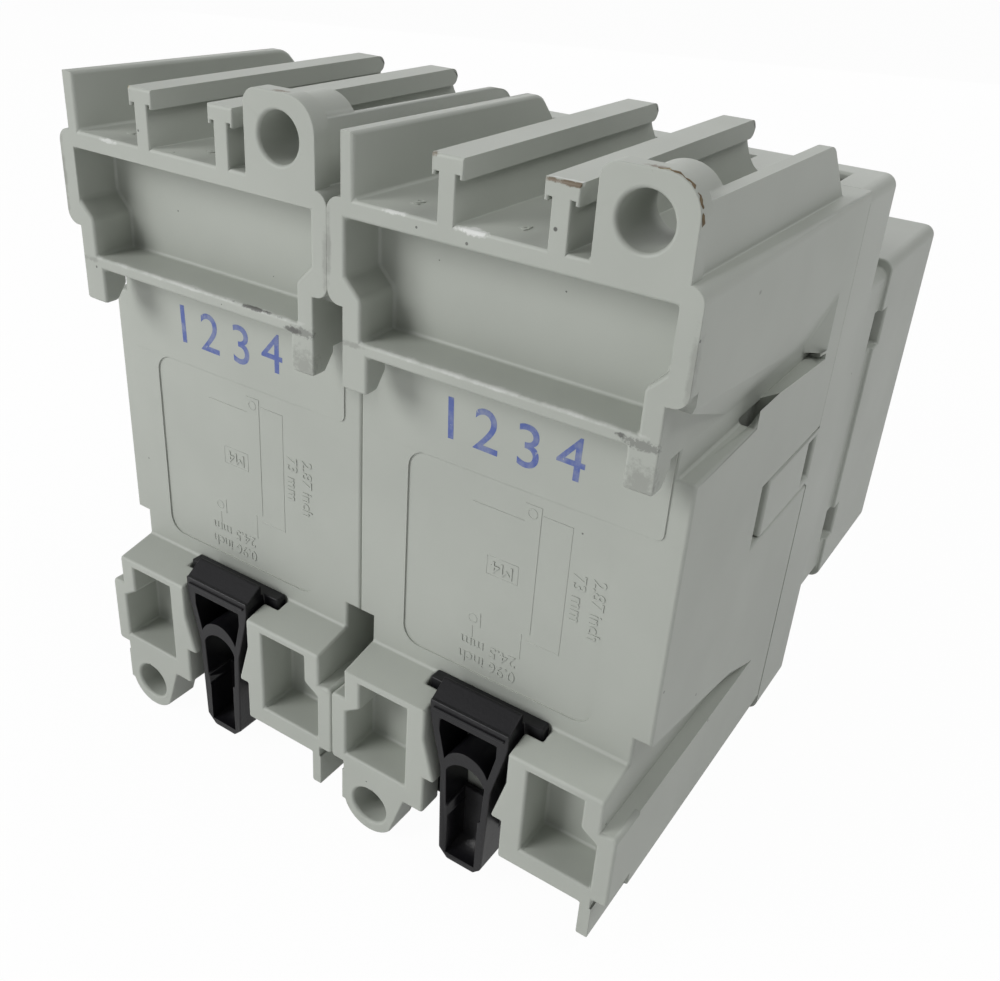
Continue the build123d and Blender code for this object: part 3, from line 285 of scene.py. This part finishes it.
ownMarks = {
    "left": [
        (7.2, 0.0, 78.3, (1.1, 0.7, 0.3), "brown", 0.7, 0.4, 1300.0),
        (-5.7, 0.0, 78.3, (2.2, 0.35, 0.3), "brown", 0.9, 0.3, 900.0),
        (-5.9, 0.5, 78.3, (2.3, 0.3, 0.35), "chalk", 0.6, 0.4, 900.0),
        (2.6, 0.0, 72.8, (1.7, 0.9, 0.5), "chalk", 0.9, 0.35, 900.0),
        (10.5, 0.0, 72.8, (1.6, 0.4, 0.3), "chalk", 0.6, 0.4, 1200.0),
        (-5.0, 0.0, 74.6, (0.22, 0.5, 0.22), "soot", 0.9, 0.3, 0.0),
        (3.0, 0.0, 71.7, (0.18, 0.5, 0.18), "soot", 0.8, 0.3, 0.0),
        (-12.6, 0.0, 59.5, (0.5, 0.6, 0.3), "soot", 0.8, 0.4, 1800.0),
        (-17.8, 24.0, 75.0, (0.8, 1.9, 0.6), "smudgeAndShade", 0.35, 0.6, 900.0),
        (-17.8, 12.0, 69.5, (0.5, 0.35, 0.25), "smudgeAndShade", 0.7, 0.5, 0.0),
        (-15.9, 21.0, 27.0, (0.6, 0.5, 0.7), "smudgeAndShade", 0.6, 0.6, 900.0),
    ],
    "right": [
        (7.2, 0.0, 78.3, (0.8, 0.6, 0.3), "tan", 0.7, 0.4, 1300.0),
        (-9.2, 0.0, 60.0, (2.6, 0.5, 0.28), "soot", 0.85, 0.3, 700.0),
        (-5.2, 0.0, 60.1, (1.2, 0.4, 0.25), "soot", 0.8, 0.3, 800.0),
        (-0.6, 0.0, 60.1, (0.7, 0.4, 0.22), "soot", 0.7, 0.3, 900.0),
        (-13.4, 0.0, 59.1, (1.4, 0.5, 0.45), "soot", 0.75, 0.4, 1100.0),
        (10.4, 0.0, 72.6, (1.3, 0.4, 0.25), "chalk", 0.6, 0.4, 1200.0),
    ],
}
grey = tints["grey"]
finishes = {
    "grey_plastic": mouldedPlastic("lightGreyPlastic", grey, 0.50, specks=0.8),
    "cover_plastic": mouldedPlastic("lightGreyCover", grey, 0.46, specks=0.6),
    "black_plastic": mouldedPlastic("blackPlastic", (0.0065, 0.0063, 0.0078), 0.36,
                                    grainDepth=0.00006, gloss=0.34),
    "start_button": mouldedPlastic("startButtonPlastic", (0.02, 0.02, 0.022), 0.35),
    "stop_button": mouldedPlastic("stopButtonPlastic", (0.42, 0.02, 0.015), 0.35),
    "dial": mouldedPlastic("dialPlastic", (0.03, 0.03, 0.032), 0.4),
    "spring_steel": platedMetal("springSteel", (0.5, 0.5, 0.52), 0.25),
    "clamp_steel": platedMetal("zincSheet", (0.6, 0.6, 0.58), 0.35, (1, 8, 1)),
    "screw_steel": platedMetal("zincTurned", (0.5, 0.5, 0.48), 0.42, (8, 1, 8)),
    "copper": platedMetal("copperStrip", (0.72, 0.4, 0.24), 0.35, (1, 6, 1)),
    "coil_copper": platedMetal("varnishedWinding", (0.5, 0.2, 0.08), 0.3, (1, 30, 1)),
    "bimetal": platedMetal("bimetalStrip", (0.5, 0.47, 0.4), 0.4, (1, 1, 6)),
    "carrier_plastic": mouldedPlastic("carrierPlastic", (0.68, 0.66, 0.58), 0.5),
}
# Painted shade: dark ovals on both sides of each cover stand in for the shading of shallow sink dimples,
# which are not modelled
sinkDimpleShade = [(x, depth, height, (0.5, 0.55, 0.95), "smudgeAndShade", 0.6, 0.8, 0.0)
             for x in (-17.8, 17.8) for depth, height in ((52.6, 52.4), (52.9, 28.4))]
coverFinish, housingFinish = {}, {}
for side, middle in sides.items():
    dimpleShade = [placed(middle, *row) for row in sinkDimpleShade]
    scuffsAndRimShade = handlingMarksAndRimShade(middle, ownMarks[side])
    coverFinish[side] = mouldedPlastic(f"{side}CoverPlastic", grey, 0.46, dimpleShade, 0.6)
    housingFinish[side] = mouldedPlastic(f"{side}HousingPlastic", grey, 0.50, scuffsAndRimShade, 0.8)
inkFinish = stampInk("blueStampInk", tints["ink"], grey)
whitePrint = mouldedPlastic("whitePrint", (0.75, 0.75, 0.73), 0.5)
darkPrint = mouldedPlastic("darkPrint", (0.03, 0.03, 0.035), 0.5)
burnt = placed(sides["left"], -15.2, 0.2, 78.4, (5, 2, 5), "brown", 0.9, 0.3)
burrFinish = mouldedPlastic("tornEdgePlastic", (0.38, 0.34, 0.235), 0.7, [burnt])
print("materials ready")

nodeSlots = {row["node"]: row["material_slot"] for row in frame["record"]["subparts"]}
for nodeName, node in frame["nodes"].items():
    node.data.materials.clear()
    node.data.materials.append(finishes[nodeSlots[nodeName]])


# A merged copy of a moulded node, to be softened and finished
def mergedCopy(nodeName, name):
    shell = frame["nodes"][nodeName].copy()
    shell.data = shell.data.copy()
    shell.name = name
    shell.data.name = name
    bpy.context.scene.collection.objects.link(shell)
    shell.parent = None
    shell.matrix_world = Matrix.Identity(4)
    makeActive(shell)
    bpy.ops.object.mode_set(mode="EDIT")
    bpy.ops.mesh.select_all(action="SELECT")
    bpy.ops.mesh.remove_doubles(threshold=1e-6)
    bpy.ops.mesh.dissolve_limited(angle_limit=math.radians(1))
    bpy.ops.object.mode_set(mode="OBJECT")
    return shell


# Rounds the edges that a test picks, by their two end points in mm
def roundEdges(shell, radius, test):
    makeActive(shell)
    bpy.ops.object.mode_set(mode="EDIT")
    bpy.ops.mesh.select_mode(type="EDGE")
    bpy.ops.mesh.select_all(action="DESELECT")
    mesh = bmesh.from_edit_mesh(shell.data)
    picked = 0
    for edge in mesh.edges:
        if edge.is_manifold and edge.calc_face_angle(0.0) > math.radians(shellSet["ribAngle"]):
            if test(edge.verts[0].co / mm, edge.verts[1].co / mm):
                edge.select_set(True)
                picked += 1
    bmesh.update_edit_mesh(shell.data)
    if picked:
        bpy.ops.mesh.bevel(offset=radius * mm, segments=shellSet["ribSegments"])
    bpy.ops.object.mode_set(mode="OBJECT")
    return picked


softSet = {
    "sharpest": 28,  # degrees; flatter edges are left alone
    "straight": 140,  # degrees between two edges that run on from one another
    "share": 0.45,  # of the room beside an edge
    "least": 0.15,  # of the wanted width, under which an edge stays sharp
    "sliver": 3e-8,  # square metres; a smaller folded face does not show
    "reach": 1.3,  # widths from a folded corner
    "rounds": 8,
}


# How far each sharp edge may be softened, in metres; edges that run on from one another get the same
def roomOfEdges(mesh):
    room = {edge: 1.0 for edge in mesh.edges
            if edge.is_manifold and edge.calc_face_angle(0.0) > math.radians(softSet["sharpest"])}
    runsOn = {edge: [] for edge in room}
    for edge in room:
        for vertex in edge.verts:
            along = (edge.other_vert(vertex).co - vertex.co).normalized()
            for other in vertex.link_edges:
                if other is edge:
                    continue
                away = (other.other_vert(vertex).co - vertex.co).normalized()
                turn = along.angle(away, 0.0)
                length = min(edge.calc_length(), other.calc_length())
                if other in room and turn > math.radians(softSet["straight"]):
                    runsOn[edge].append(other)
                elif other in room:
                    between = length * math.sin(turn) / (1 + max(0.0, math.cos(turn)))
                    room[edge] = min(room[edge], softSet["share"] * between)
                elif set(other.link_faces) & set(edge.link_faces):
                    room[edge] = min(room[edge], softSet["share"] * other.calc_length() * math.sin(turn))
    chains, done = [], set()
    for edge in room:
        if edge in done:
            continue
        chain, waiting = [], [edge]
        while waiting:
            link = waiting.pop()
            if link not in done:
                done.add(link)
                chain.append(link)
                waiting += runsOn[link]
        chains.append((min(room[link] for link in chain), chain))
    return chains


# Corner points of faces that softening has folded over
def foldedCorners(shell):
    data = shell.data
    data.calc_loop_triangles()
    folded = set()
    for triangle in data.loop_triangles:
        first, second, third = (data.vertices[index].co for index in triangle.vertices)
        normal = (second - first).cross(third - first)
        face = data.polygons[triangle.polygon_index]
        if normal.length > 2 * softSet["sliver"] and normal.normalized().dot(face.normal) < 0.6:
            folded.update(triangle.vertices)
    return [data.vertices[index].co.copy() for index in folded]


def distanceToEdge(point, edge):
    start, end = edge.verts[0].co, edge.verts[1].co
    along = end - start
    share = min(1.0, max(0.0, (point - start).dot(along) / max(along.length_squared, 1e-18)))
    return (point - start - along * share).length


# Edges are softened as far as there is room, and stay sharp where that would fold a face
def softenEdges(shell, width, segments):
    untouched = shell.data.copy()
    wanted = width * mm
    sharpChains = set()
    for attempt in range(softSet["rounds"]):
        mesh = bmesh.new()
        mesh.from_mesh(untouched)
        layers = mesh.edges.layers.float
        weights = layers.get("bevel_weight_edge") or layers.new("bevel_weight_edge")
        chains = roomOfEdges(mesh)
        for number, (room, chain) in enumerate(chains):
            share = min(1.0, room / wanted)
            for link in chain:
                link[weights] = share if share > softSet["least"] and number not in sharpChains else 0.0
        mesh.to_mesh(shell.data)
        addModifier(shell, "BEVEL", width=wanted, segments=segments, limit_method="WEIGHT",
                    use_clamp_overlap=False)
        corners = foldedCorners(shell)
        near = set()
        reach = softSet["reach"] * wanted
        for number, (room, chain) in enumerate(chains):
            if number in sharpChains or room / wanted <= softSet["least"]:
                continue
            if any(distanceToEdge(corner, link) < reach for link in chain for corner in corners):
                near.add(number)
        mesh.free()
        if not near:
            break
        sharpChains |= near
    print(shell.name, "softened, rounds", attempt + 1, "left sharp", len(sharpChains), "of", len(chains))


def cutWith(shell, cutter):
    addModifier(shell, "BOOLEAN", operation="DIFFERENCE", object=cutter, solver="EXACT")
    bpy.data.objects.remove(cutter, do_unlink=True)


def finishShell(shell, nodeName, body, material):
    makeActive(shell)
    bpy.ops.object.shade_smooth_by_angle(angle=math.radians(shellSet["smoothAngle"]))
    addModifier(shell, "WEIGHTED_NORMAL", keep_sharp=True, weight=shellSet["flatWeight"])
    dress(shell, body, material)
    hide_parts(nodeName)


# A block whose outline, seen from behind, has rounded corners; edge also softens its rear rim; all in mm
def roundedBlock(name, xs, heights, depths, corner, edge=0.0):
    deselectAll()
    middle = [(a + b) / 2 for a, b in (xs, depths, heights)]
    bpy.ops.mesh.primitive_cube_add(size=1, location=[v * mm for v in middle])
    block = bpy.context.object
    block.name = name
    block.scale = [abs(b - a) * mm for a, b in (xs, depths, heights)]
    bakePlace(block)
    bpy.ops.object.mode_set(mode="EDIT")
    bpy.ops.mesh.select_mode(type="EDGE")
    bpy.ops.mesh.select_all(action="DESELECT")
    mesh = bmesh.from_edit_mesh(block.data)
    for lineEdge in mesh.edges:
        across = lineEdge.verts[0].co - lineEdge.verts[1].co
        lineEdge.select_set(abs(across.y) > 0.5 * abs(depths[1] - depths[0]) * mm)
    bmesh.update_edit_mesh(block.data)
    bpy.ops.mesh.bevel(offset=corner * mm, segments=6)
    if edge:
        bpy.ops.mesh.select_all(action="DESELECT")
        mesh = bmesh.from_edit_mesh(block.data)
        top = max(vertex.co.y for vertex in mesh.verts)
        for lineEdge in mesh.edges:
            lineEdge.select_set(all(vertex.co.y > top - 1e-7 for vertex in lineEdge.verts))
        bmesh.update_edit_mesh(block.data)
        bpy.ops.mesh.bevel(offset=edge * mm, segments=2)
    bpy.ops.object.mode_set(mode="OBJECT")
    return block


shellSet = {
    "housingEdge": 0.36,
    "coverEdge": 0.35,
    "clipEdge": 0.30,
    "segments": 3,
    "smoothAngle": 32,  # degrees; flatter edges are shaded smooth
    "flatWeight": 80,  # how strongly the large faces keep their own normals
    "ribEnd": 1.0,
    "ribAngle": 25,  # degrees; flatter edges at a rib's end are left alone
    "ribSegments": 5,
    "ribZone": (76.5, 28.0),  # a rib's end is above this height and in front of this depth
    "barHeight": (6.2, 8.6),  # the bar between the clip's two openings, above its tip
    "barHalf": 1.95,
    "barDeep": 3.5,
    "barCorner": 0.2,
}
panelSet = {
    "frameX": (-11.3, 11.8),
    "frameHeight": (24.6, 48.1),
    "frameCorner": 2.1,
    "frameDeep": 0.18,
    "padHalf": 15.7,
    "padHeight": (48.15, 58.6),
    "padProud": 0.15,
    "padSunk": 0.05,
    "padCorner": 0.7,
    "padEdge": 0.03,
}


def isRibEnd(first, second):
    height, depth = shellSet["ribZone"]
    across = abs(first.y - second.y) < 0.2 and abs(first.z - second.z) < 0.2
    high = (first.z + second.z) / 2 - footLevel > height
    return across and high and rearPlane - (first.y + second.y) / 2 > depth


def housingShell(side, middle):
    nodeName = f"{side}_rear_housing"
    housing = mergedCopy(nodeName, f"{side}HousingShell")
    ends = roundEdges(housing, shellSet["ribEnd"], isRibEnd)
    softenEdges(housing, shellSet["housingEdge"], shellSet["segments"])
    xs = [middle + x for x in panelSet["frameX"]]
    heights = [footLevel + height for height in panelSet["frameHeight"]]
    depths = (panelPlane - panelSet["frameDeep"], panelPlane + 1.0)
    cutWith(housing, roundedBlock("frameCutter", xs, heights, depths, panelSet["frameCorner"]))
    finishShell(housing, nodeName, "housings", housingFinish[side])
    print(side, "rib ends rounded", ends)


def coverShell(side):
    nodeName = f"{side}_front_cover"
    cover = mergedCopy(nodeName, f"{side}CoverShell")
    softenEdges(cover, shellSet["coverEdge"], shellSet["segments"])
    finishShell(cover, nodeName, "housings", coverFinish[side])


def clipShell(side, middle):
    nodeName = f"{side}_din_clip"
    clip = mergedCopy(nodeName, f"{side}ClipShell")
    low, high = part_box(nodeName)
    tip, rear = low.z / mm, high.y / mm
    xs = (middle - shellSet["barHalf"], middle + shellSet["barHalf"])
    heights = [tip + height for height in shellSet["barHeight"]]
    depths = (rear - shellSet["barDeep"], rear + 1.0)
    cutWith(clip, roundedBlock("barCutter", xs, heights, depths, shellSet["barCorner"]))
    softenEdges(clip, shellSet["clipEdge"], shellSet["segments"])
    finishShell(clip, nodeName, f"{side}_clip", finishes["black_plastic"])


for side, middle in sides.items():
    housingShell(side, middle)
    coverShell(side)
    clipShell(side, middle)
print("shells ready")

# Plain relief on the panel: a drilling sketch, its words upside down or sideways
reliefSet = {
    "proud": 0.08,
    "line": 0.11,
    "low": 0.6,  # the sketch stands this share as proud as the words
    "sketch": [(4.05, 32.15), (4.05, 44.85), (-1.75, 44.85), (-1.75, 46.8), (-3.55, 46.8), (-3.5, 32.25),
               (2.3, 32.25), (2.25, 30.4), (4.0, 30.4)],
    "rings": [(-2.6, 45.9), (3.2, 31.3)],
    "ringRadius": 0.5,
    "lines": [[(-3.7, 46.0), (-6.9, 46.0), (-6.85, 31.4), (-3.3, 31.35)], [(-2.55, 31.9), (-2.55, 28.8)],
              [(3.2, 30.3), (3.2, 28.8)]],
    "box": [(-1.6, 37.35), (2.0, 37.35), (2.0, 39.5), (-1.6, 39.5)],
    "thread": ("M4", (0.2, 38.42), 1.5, "down"),
    "words": [("73 mm", (-8.1, 38.7), 1.45, "side"), ("2.87 inch", (-10.2, 38.1), 1.4, "side"),
              ("24.5 mm", (1.2, 28.1), 1.4, "down"), ("0.96 inch", (1.25, 26.2), 1.4, "down")],
}
stampSet = {
    "digits": [("1", 6.9, 52.65, 2.0), ("2", 2.9, 52.55, -1.5), ("3", -1.7, 52.5, 1.0),
               ("4", -6.1, 52.9, -1.0)],
    "height": 4.6,
    "thick": 0.012,
    "bold": 0.008,
}
readings = {  # the way a word's letters run and stand
    "plain": ((-1, 0, 0), (0, 0, 1)),
    "down": ((1, 0, 0), (0, 0, -1)),
    "side": ((0, 0, -1), (-1, 0, 0)),
    "front": ((1, 0, 0), (0, 0, 1)),
    "top": ((-1, 0, 0), (0, -1, 0)),
}


# Letters as a thin mesh: place in mm, size is the capital height, lift is how far they stand proud
def letters(words, place, size, reading, lift, bold=0.0, turn=0.0):
    deselectAll()
    bpy.ops.object.text_add()
    label = bpy.context.object
    label.data.body = words
    label.data.size = size * mm / 0.73  # a capital is 0.73 of the type size
    label.data.align_x = "CENTER"
    label.data.align_y = "CENTER"
    label.data.extrude = lift * mm
    label.data.offset = bold * mm
    label.data.resolution_u = 6
    bpy.ops.object.convert(target="MESH")
    run, stand = (Vector(v) for v in readings[reading])
    facing = Matrix([run, stand, run.cross(stand)]).transposed().to_4x4()
    tilt = Matrix.Rotation(math.radians(turn), 4, "Z")
    label.matrix_world = Matrix.Translation(Vector(place) * mm) @ facing @ tilt
    bakePlace(label)
    return label


# A round strand through the points, each (x, y, z) in mm and its share of the thickness
def strand(name, points, thickness, closed=False):
    deselectAll()
    curve = bpy.data.curves.new(name, "CURVE")
    curve.dimensions = "3D"
    spline = curve.splines.new("POLY")
    spline.points.add(len(points) - 1)
    for point, (x, y, z, share) in zip(spline.points, points):
        point.co = (x * mm, y * mm, z * mm, 1)
        point.radius = share
    spline.use_cyclic_u = closed
    curve.bevel_depth = thickness / 2 * mm
    curve.bevel_resolution = 2
    curve.use_fill_caps = True
    piece = bpy.data.objects.new(name, curve)
    bpy.context.scene.collection.objects.link(piece)
    makeActive(piece)
    bpy.ops.object.convert(target="MESH")
    return bpy.context.object


# A raised line on the panel, its points (x, height) in mm
def raisedLine(points, level, width, proud, closed=False):
    line = strand("raisedLine", [(x, level, height, 1.0) for x, height in points], width, closed)
    for vertex in line.data.vertices:  # flattened to its height above the panel
        vertex.co.y = level * mm + (vertex.co.y - level * mm) * proud / (width / 2)
    return line


def ring(centre, level, radius, width, proud):
    steps = 20
    points = []
    for k in range(steps):
        angle = 2 * math.pi * k / steps
        points.append((centre[0] + radius * math.cos(angle), centre[1] + radius * math.sin(angle)))
    return raisedLine(points, level, width, proud, True)


# A flat plateau with a sharp step: a filled ring of points, moved to the outline and extruded
def plateau(points, level, proud):
    deselectAll()
    bpy.ops.mesh.primitive_circle_add(vertices=len(points), radius=mm, fill_type="NGON", calc_uvs=False)
    sheet = bpy.context.object
    for vertex, (x, height) in zip(sheet.data.vertices, points):
        vertex.co = (x * mm, (level + proud) * mm, height * mm)
    bpy.ops.object.mode_set(mode="EDIT")
    bpy.ops.mesh.select_all(action="SELECT")
    bpy.ops.mesh.extrude_region_move(TRANSFORM_OT_translate={"value": (0, -(proud + 0.05) * mm, 0)})
    bpy.ops.mesh.select_all(action="SELECT")
    bpy.ops.mesh.normals_make_consistent(inside=False)
    bpy.ops.object.mode_set(mode="OBJECT")
    return sheet


def panelRelief(side, middle):
    def onPanel(points):
        return [(middle + x, height + footLevel) for x, height in points]

    level = panelPlane - panelSet["frameDeep"]
    proud, width = reliefSet["proud"], reliefSet["line"]
    low = proud * reliefSet["low"]
    parts = [plateau(onPanel(reliefSet["sketch"]), level, low)]
    parts += [raisedLine(onPanel(points), level, width, low) for points in reliefSet["lines"]]
    for centre in onPanel(reliefSet["rings"]):
        parts.append(ring(centre, level + low, reliefSet["ringRadius"], width, low))
    parts.append(raisedLine(onPanel(reliefSet["box"]), level + low, width * 0.7, proud * 0.5, True))
    for rise, rows in ((low, [reliefSet["thread"]]), (0.0, reliefSet["words"])):
        for words, (x, height), size, reading in rows:
            place = (middle + x, level + rise, height + footLevel)
            parts.append(letters(words, place, size, reading, proud))
    relief = joinPieces(f"{side}PanelRelief", parts)
    dress(relief, "housings", finishes["grey_plastic"])


def stampedNumber(side, middle):
    half = panelSet["padHalf"]
    heights = [footLevel + height for height in panelSet["padHeight"]]
    face = panelPlane + panelSet["padProud"]
    xs, depths = (middle - half, middle + half), (panelPlane - panelSet["padSunk"], face)
    pad = roundedBlock(f"{side}StampPad", xs, heights, depths, panelSet["padCorner"], panelSet["padEdge"])
    dress(pad, "housings", housingFinish[side])
    digits = []
    for digit, x, height, turn in stampSet["digits"]:
        place = (middle + x, face, height + footLevel)
        digits.append(letters(digit, place, stampSet["height"], "plain", stampSet["thick"],
                              stampSet["bold"], turn))
    stamp = joinPieces(f"{side}StampDigits", digits)
    dress(stamp, "housings", inkFinish)


for side, middle in sides.items():
    panelRelief(side, middle)
    stampedNumber(side, middle)
print("panel relief ready")

# Small raised pole numbers on top, dial scale and button signs on the front
signSet = {
    "poleNumbers": [("2", 10.5), ("4", -0.2)],
    "poleDepth": 3.6,
    "poleHeight": 72.85,
    "poleSize": 1.5,
    "poleProud": 0.08,
    "scale": [("1", 210), ("2", 150), ("3", 30), ("4", -30)],  # number and its angle round the dial
    "scaleRadius": 7.6,
    "scaleSize": 1.8,
    "buttonSigns": [("I", "start"), ("0", "stop")],
    "buttonSize": 4.0,
    "printThick": 0.02,
}


def poleNumbers(side, middle):
    level = signSet["poleHeight"] + footLevel
    parts = []
    for words, x in signSet["poleNumbers"]:
        place = (middle + x, rearPlane - signSet["poleDepth"], level)
        parts.append(letters(words, place, signSet["poleSize"], "top", signSet["poleProud"]))
    numbers = joinPieces(f"{side}PoleNumbers", parts)
    dress(numbers, "housings", finishes["grey_plastic"])


def dialScale(side):
    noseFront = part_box(f"{side}_front_cover")[0].y / mm
    low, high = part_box(f"{side}_current_dial")
    dialX, dialZ = (low.x + high.x) / 2 / mm, (low.z + high.z) / 2 / mm
    parts = []
    for words, degrees in signSet["scale"]:
        x = dialX + signSet["scaleRadius"] * math.cos(math.radians(degrees))
        z = dialZ + signSet["scaleRadius"] * math.sin(math.radians(degrees))
        place = (x, noseFront, z)
        parts.append(letters(words, place, signSet["scaleSize"], "front", signSet["printThick"]))
    scale = joinPieces(f"{side}DialScale", parts)
    dress(scale, "housings", darkPrint)


def buttonSign(side, sign, button):
    low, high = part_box(f"{side}_{button}_button")
    place = ((low.x + high.x) / 2 / mm, low.y / mm, (low.z + high.z) / 2 / mm)
    label = letters(sign, place, signSet["buttonSize"], "front", signSet["printThick"])
    label.name = f"{side}{button.title()}Sign"
    dress(label, f"{side}_{button}", whitePrint)


for side, middle in sides.items():
    poleNumbers(side, middle)
    dialScale(side)
    for sign, button in signSet["buttonSigns"]:
        buttonSign(side, sign, button)
print("signs ready")

# Torn moulding edge round the left breaker's upper lug, made ragged by sums of sines
burrSet = {
    "centre": (-13.35, 77.45),
    "radius": 3.12,
    "angles": (76, 196),
    "steps": 24,
    "thick": 0.24,
    "thinnest": 0.15,
}
points = []
start, end = burrSet["angles"]
for k in range(burrSet["steps"] + 1):
    angle = math.radians(start + (end - start) * k / burrSet["steps"])
    wave = 0.05 * math.sin(5.1 * k) + 0.04 * math.sin(2.3 * k + 1)
    reach = burrSet["radius"] + wave
    share = 1.0 + 0.5 * math.sin(1.3 * k) + 0.4 * math.sin(3.1 * k)
    points.append((sides["left"] + burrSet["centre"][0] + reach * math.cos(angle),
                   rearPlane - 0.32 + 0.12 * math.sin(1.7 * k),
                   footLevel + burrSet["centre"][1] + reach * math.sin(angle),
                   max(burrSet["thinnest"], share)))
torn = strand("leftTornEdge", points, burrSet["thick"])
bpy.ops.object.shade_smooth()
dress(torn, "housings", burrFinish)

# A fine ridge across each clip's head, below the slope that the rail rides over
ridgeSet = {
    "half": 4.35,
    "height": (22.0, 22.35),
    "proud": 0.2,
    "sunk": 0.1,
    "corner": 0.12,
    "edge": 0.08,
}
for side, middle in sides.items():
    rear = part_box(f"{side}_din_clip")[1].y / mm
    xs = (middle - ridgeSet["half"], middle + ridgeSet["half"])
    heights = [footLevel + height for height in ridgeSet["height"]]
    depths = (rear - ridgeSet["sunk"], rear + ridgeSet["proud"])
    ridge = roundedBlock(f"{side}ClipRidge", xs, heights, depths, ridgeSet["corner"], ridgeSet["edge"])
    dress(ridge, f"{side}_clip", finishes["black_plastic"])
print("small marks ready")


# A button spring: a merged copy of its node, shaded smooth and set on the housings
def buttonSpring(side, button):
    nodeName = f"{side}_{button}_spring"
    coil = mergedCopy(nodeName, f"{side}{button.title()}Coil")
    bpy.ops.object.shade_smooth_by_angle(angle=math.radians(50))
    dress(coil, "housings", finishes["spring_steel"])
    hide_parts(nodeName)
    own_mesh(coil)


for side in sides:
    for button in ("start", "stop"):
        buttonSpring(side, button)
print("springs ready")

# Floor, light and camera
lightSet = {
    "world": 0.23,
    "mirrored": 0.45,
    "floorSeen": 0.97,  # how far the floor glows, seen straight and in a reflection
    "floorMirrored": 0.5,
    "key": 2.4,
    "side": 1.45,
    "front": 1.2,
}
floorGap = 0.0001  # so that the feet and the floor are not in one plane
deselectAll()
bpy.ops.mesh.primitive_plane_add(size=6, location=(0, 0, cadLow.z - floorGap))
floor = bpy.context.object
floor.name = "studioFloor"
bakePlace(floor)
floorMaterial, nodes, links, shader = startMaterial("paleFloor", Roughness=0.9)
shader.inputs["Base Color"].default_value = (0.92, 0.92, 0.92, 1)
glow = nodes.new("ShaderNodeEmission")
glow.inputs["Color"].default_value = (1, 1, 1, 1)
glow.inputs["Strength"].default_value = 1.0
blendIn = nodes.new("ShaderNodeMixShader")


def seenRays(nodes, links):
    rays = nodes.new("ShaderNodeLightPath")
    glossy, through = rays.outputs["Is Glossy Ray"], rays.outputs["Is Transmission Ray"]
    return rays.outputs["Is Camera Ray"], mathNode(nodes, links, "MAXIMUM", glossy, through)


seen, mirrored = seenRays(nodes, links)
mirroredGlow = mathNode(nodes, links, "MULTIPLY", mirrored, lightSet["floorMirrored"])
share = mathNode(nodes, links, "MULTIPLY_ADD", seen, lightSet["floorSeen"], mirroredGlow)
links.new(share, blendIn.inputs["Fac"])
links.new(shader.outputs["BSDF"], blendIn.inputs[1])
links.new(glow.outputs["Emission"], blendIn.inputs[2])
links.new(blendIn.outputs["Shader"], nodes["Material Output"].inputs["Surface"])
floor.data.materials.append(floorMaterial)

world = bpy.data.worlds.new("studioWorld")
bpy.context.scene.world = world
world.use_nodes = True
nodes, links = world.node_tree.nodes, world.node_tree.links
background = nodes["Background"]
background.inputs["Color"].default_value = (1, 1, 1, 1)
seen, mirrored = seenRays(nodes, links)
mirroredGlow = mathNode(nodes, links, "MULTIPLY", mirrored, lightSet["mirrored"])
strength = mathNode(nodes, links, "MAXIMUM", mirroredGlow, lightSet["world"])
links.new(mathNode(nodes, links, "MAXIMUM", seen, strength), background.inputs["Strength"])


def softLamp(name, place, aim, size, watts):
    deselectAll()
    bpy.ops.object.light_add(type="AREA", location=place)
    lamp = bpy.context.object
    lamp.name = name
    lamp.data.shape = "SQUARE"
    lamp.data.size = size
    lamp.data.energy = watts
    lamp.rotation_euler = (Vector(aim) - Vector(place)).to_track_quat("-Z", "Y").to_euler()


softLamp("keyLamp", (0.32, 0.46, 0.29), (0, -0.02, 0), 0.30, lightSet["key"])
softLamp("sideLamp", (-0.36, -0.07, 0.60), (0, -0.02, 0), 0.35, lightSet["side"])
softLamp("frontLamp", (0.22, -0.58, 0.12), (0, -0.04, 0), 0.70, lightSet["front"])

# The camera stands behind and above the pair, close to it
cameraSet = {
    "place": (-62.2, 77.0, 57.7),
    "right": (-0.8299, -0.5550, 0.0570),
    "up": (0.3057, -0.3669, 0.8786),
    "back": (-0.4667, 0.7466, 0.4741),
    "lens": 39.5,
    "shiftX": 0.0221,
    "shiftY": -0.0318,
}
deselectAll()
bpy.ops.object.camera_add()
camera = bpy.context.object
camera.name = "rearCamera"
turn = Matrix([cameraSet["right"], cameraSet["up"], cameraSet["back"]]).transposed()
camera.matrix_world = Matrix.Translation(Vector(cameraSet["place"]) * mm) @ turn.to_4x4()
camera.data.lens = cameraSet["lens"]
camera.data.sensor_width = 36
camera.data.shift_x = cameraSet["shiftX"]
camera.data.shift_y = cameraSet["shiftY"]
camera.data.clip_start = 0.001
bpy.context.scene.camera = camera
bpy.context.scene.view_settings.view_transform = "Standard"
print("stage ready")
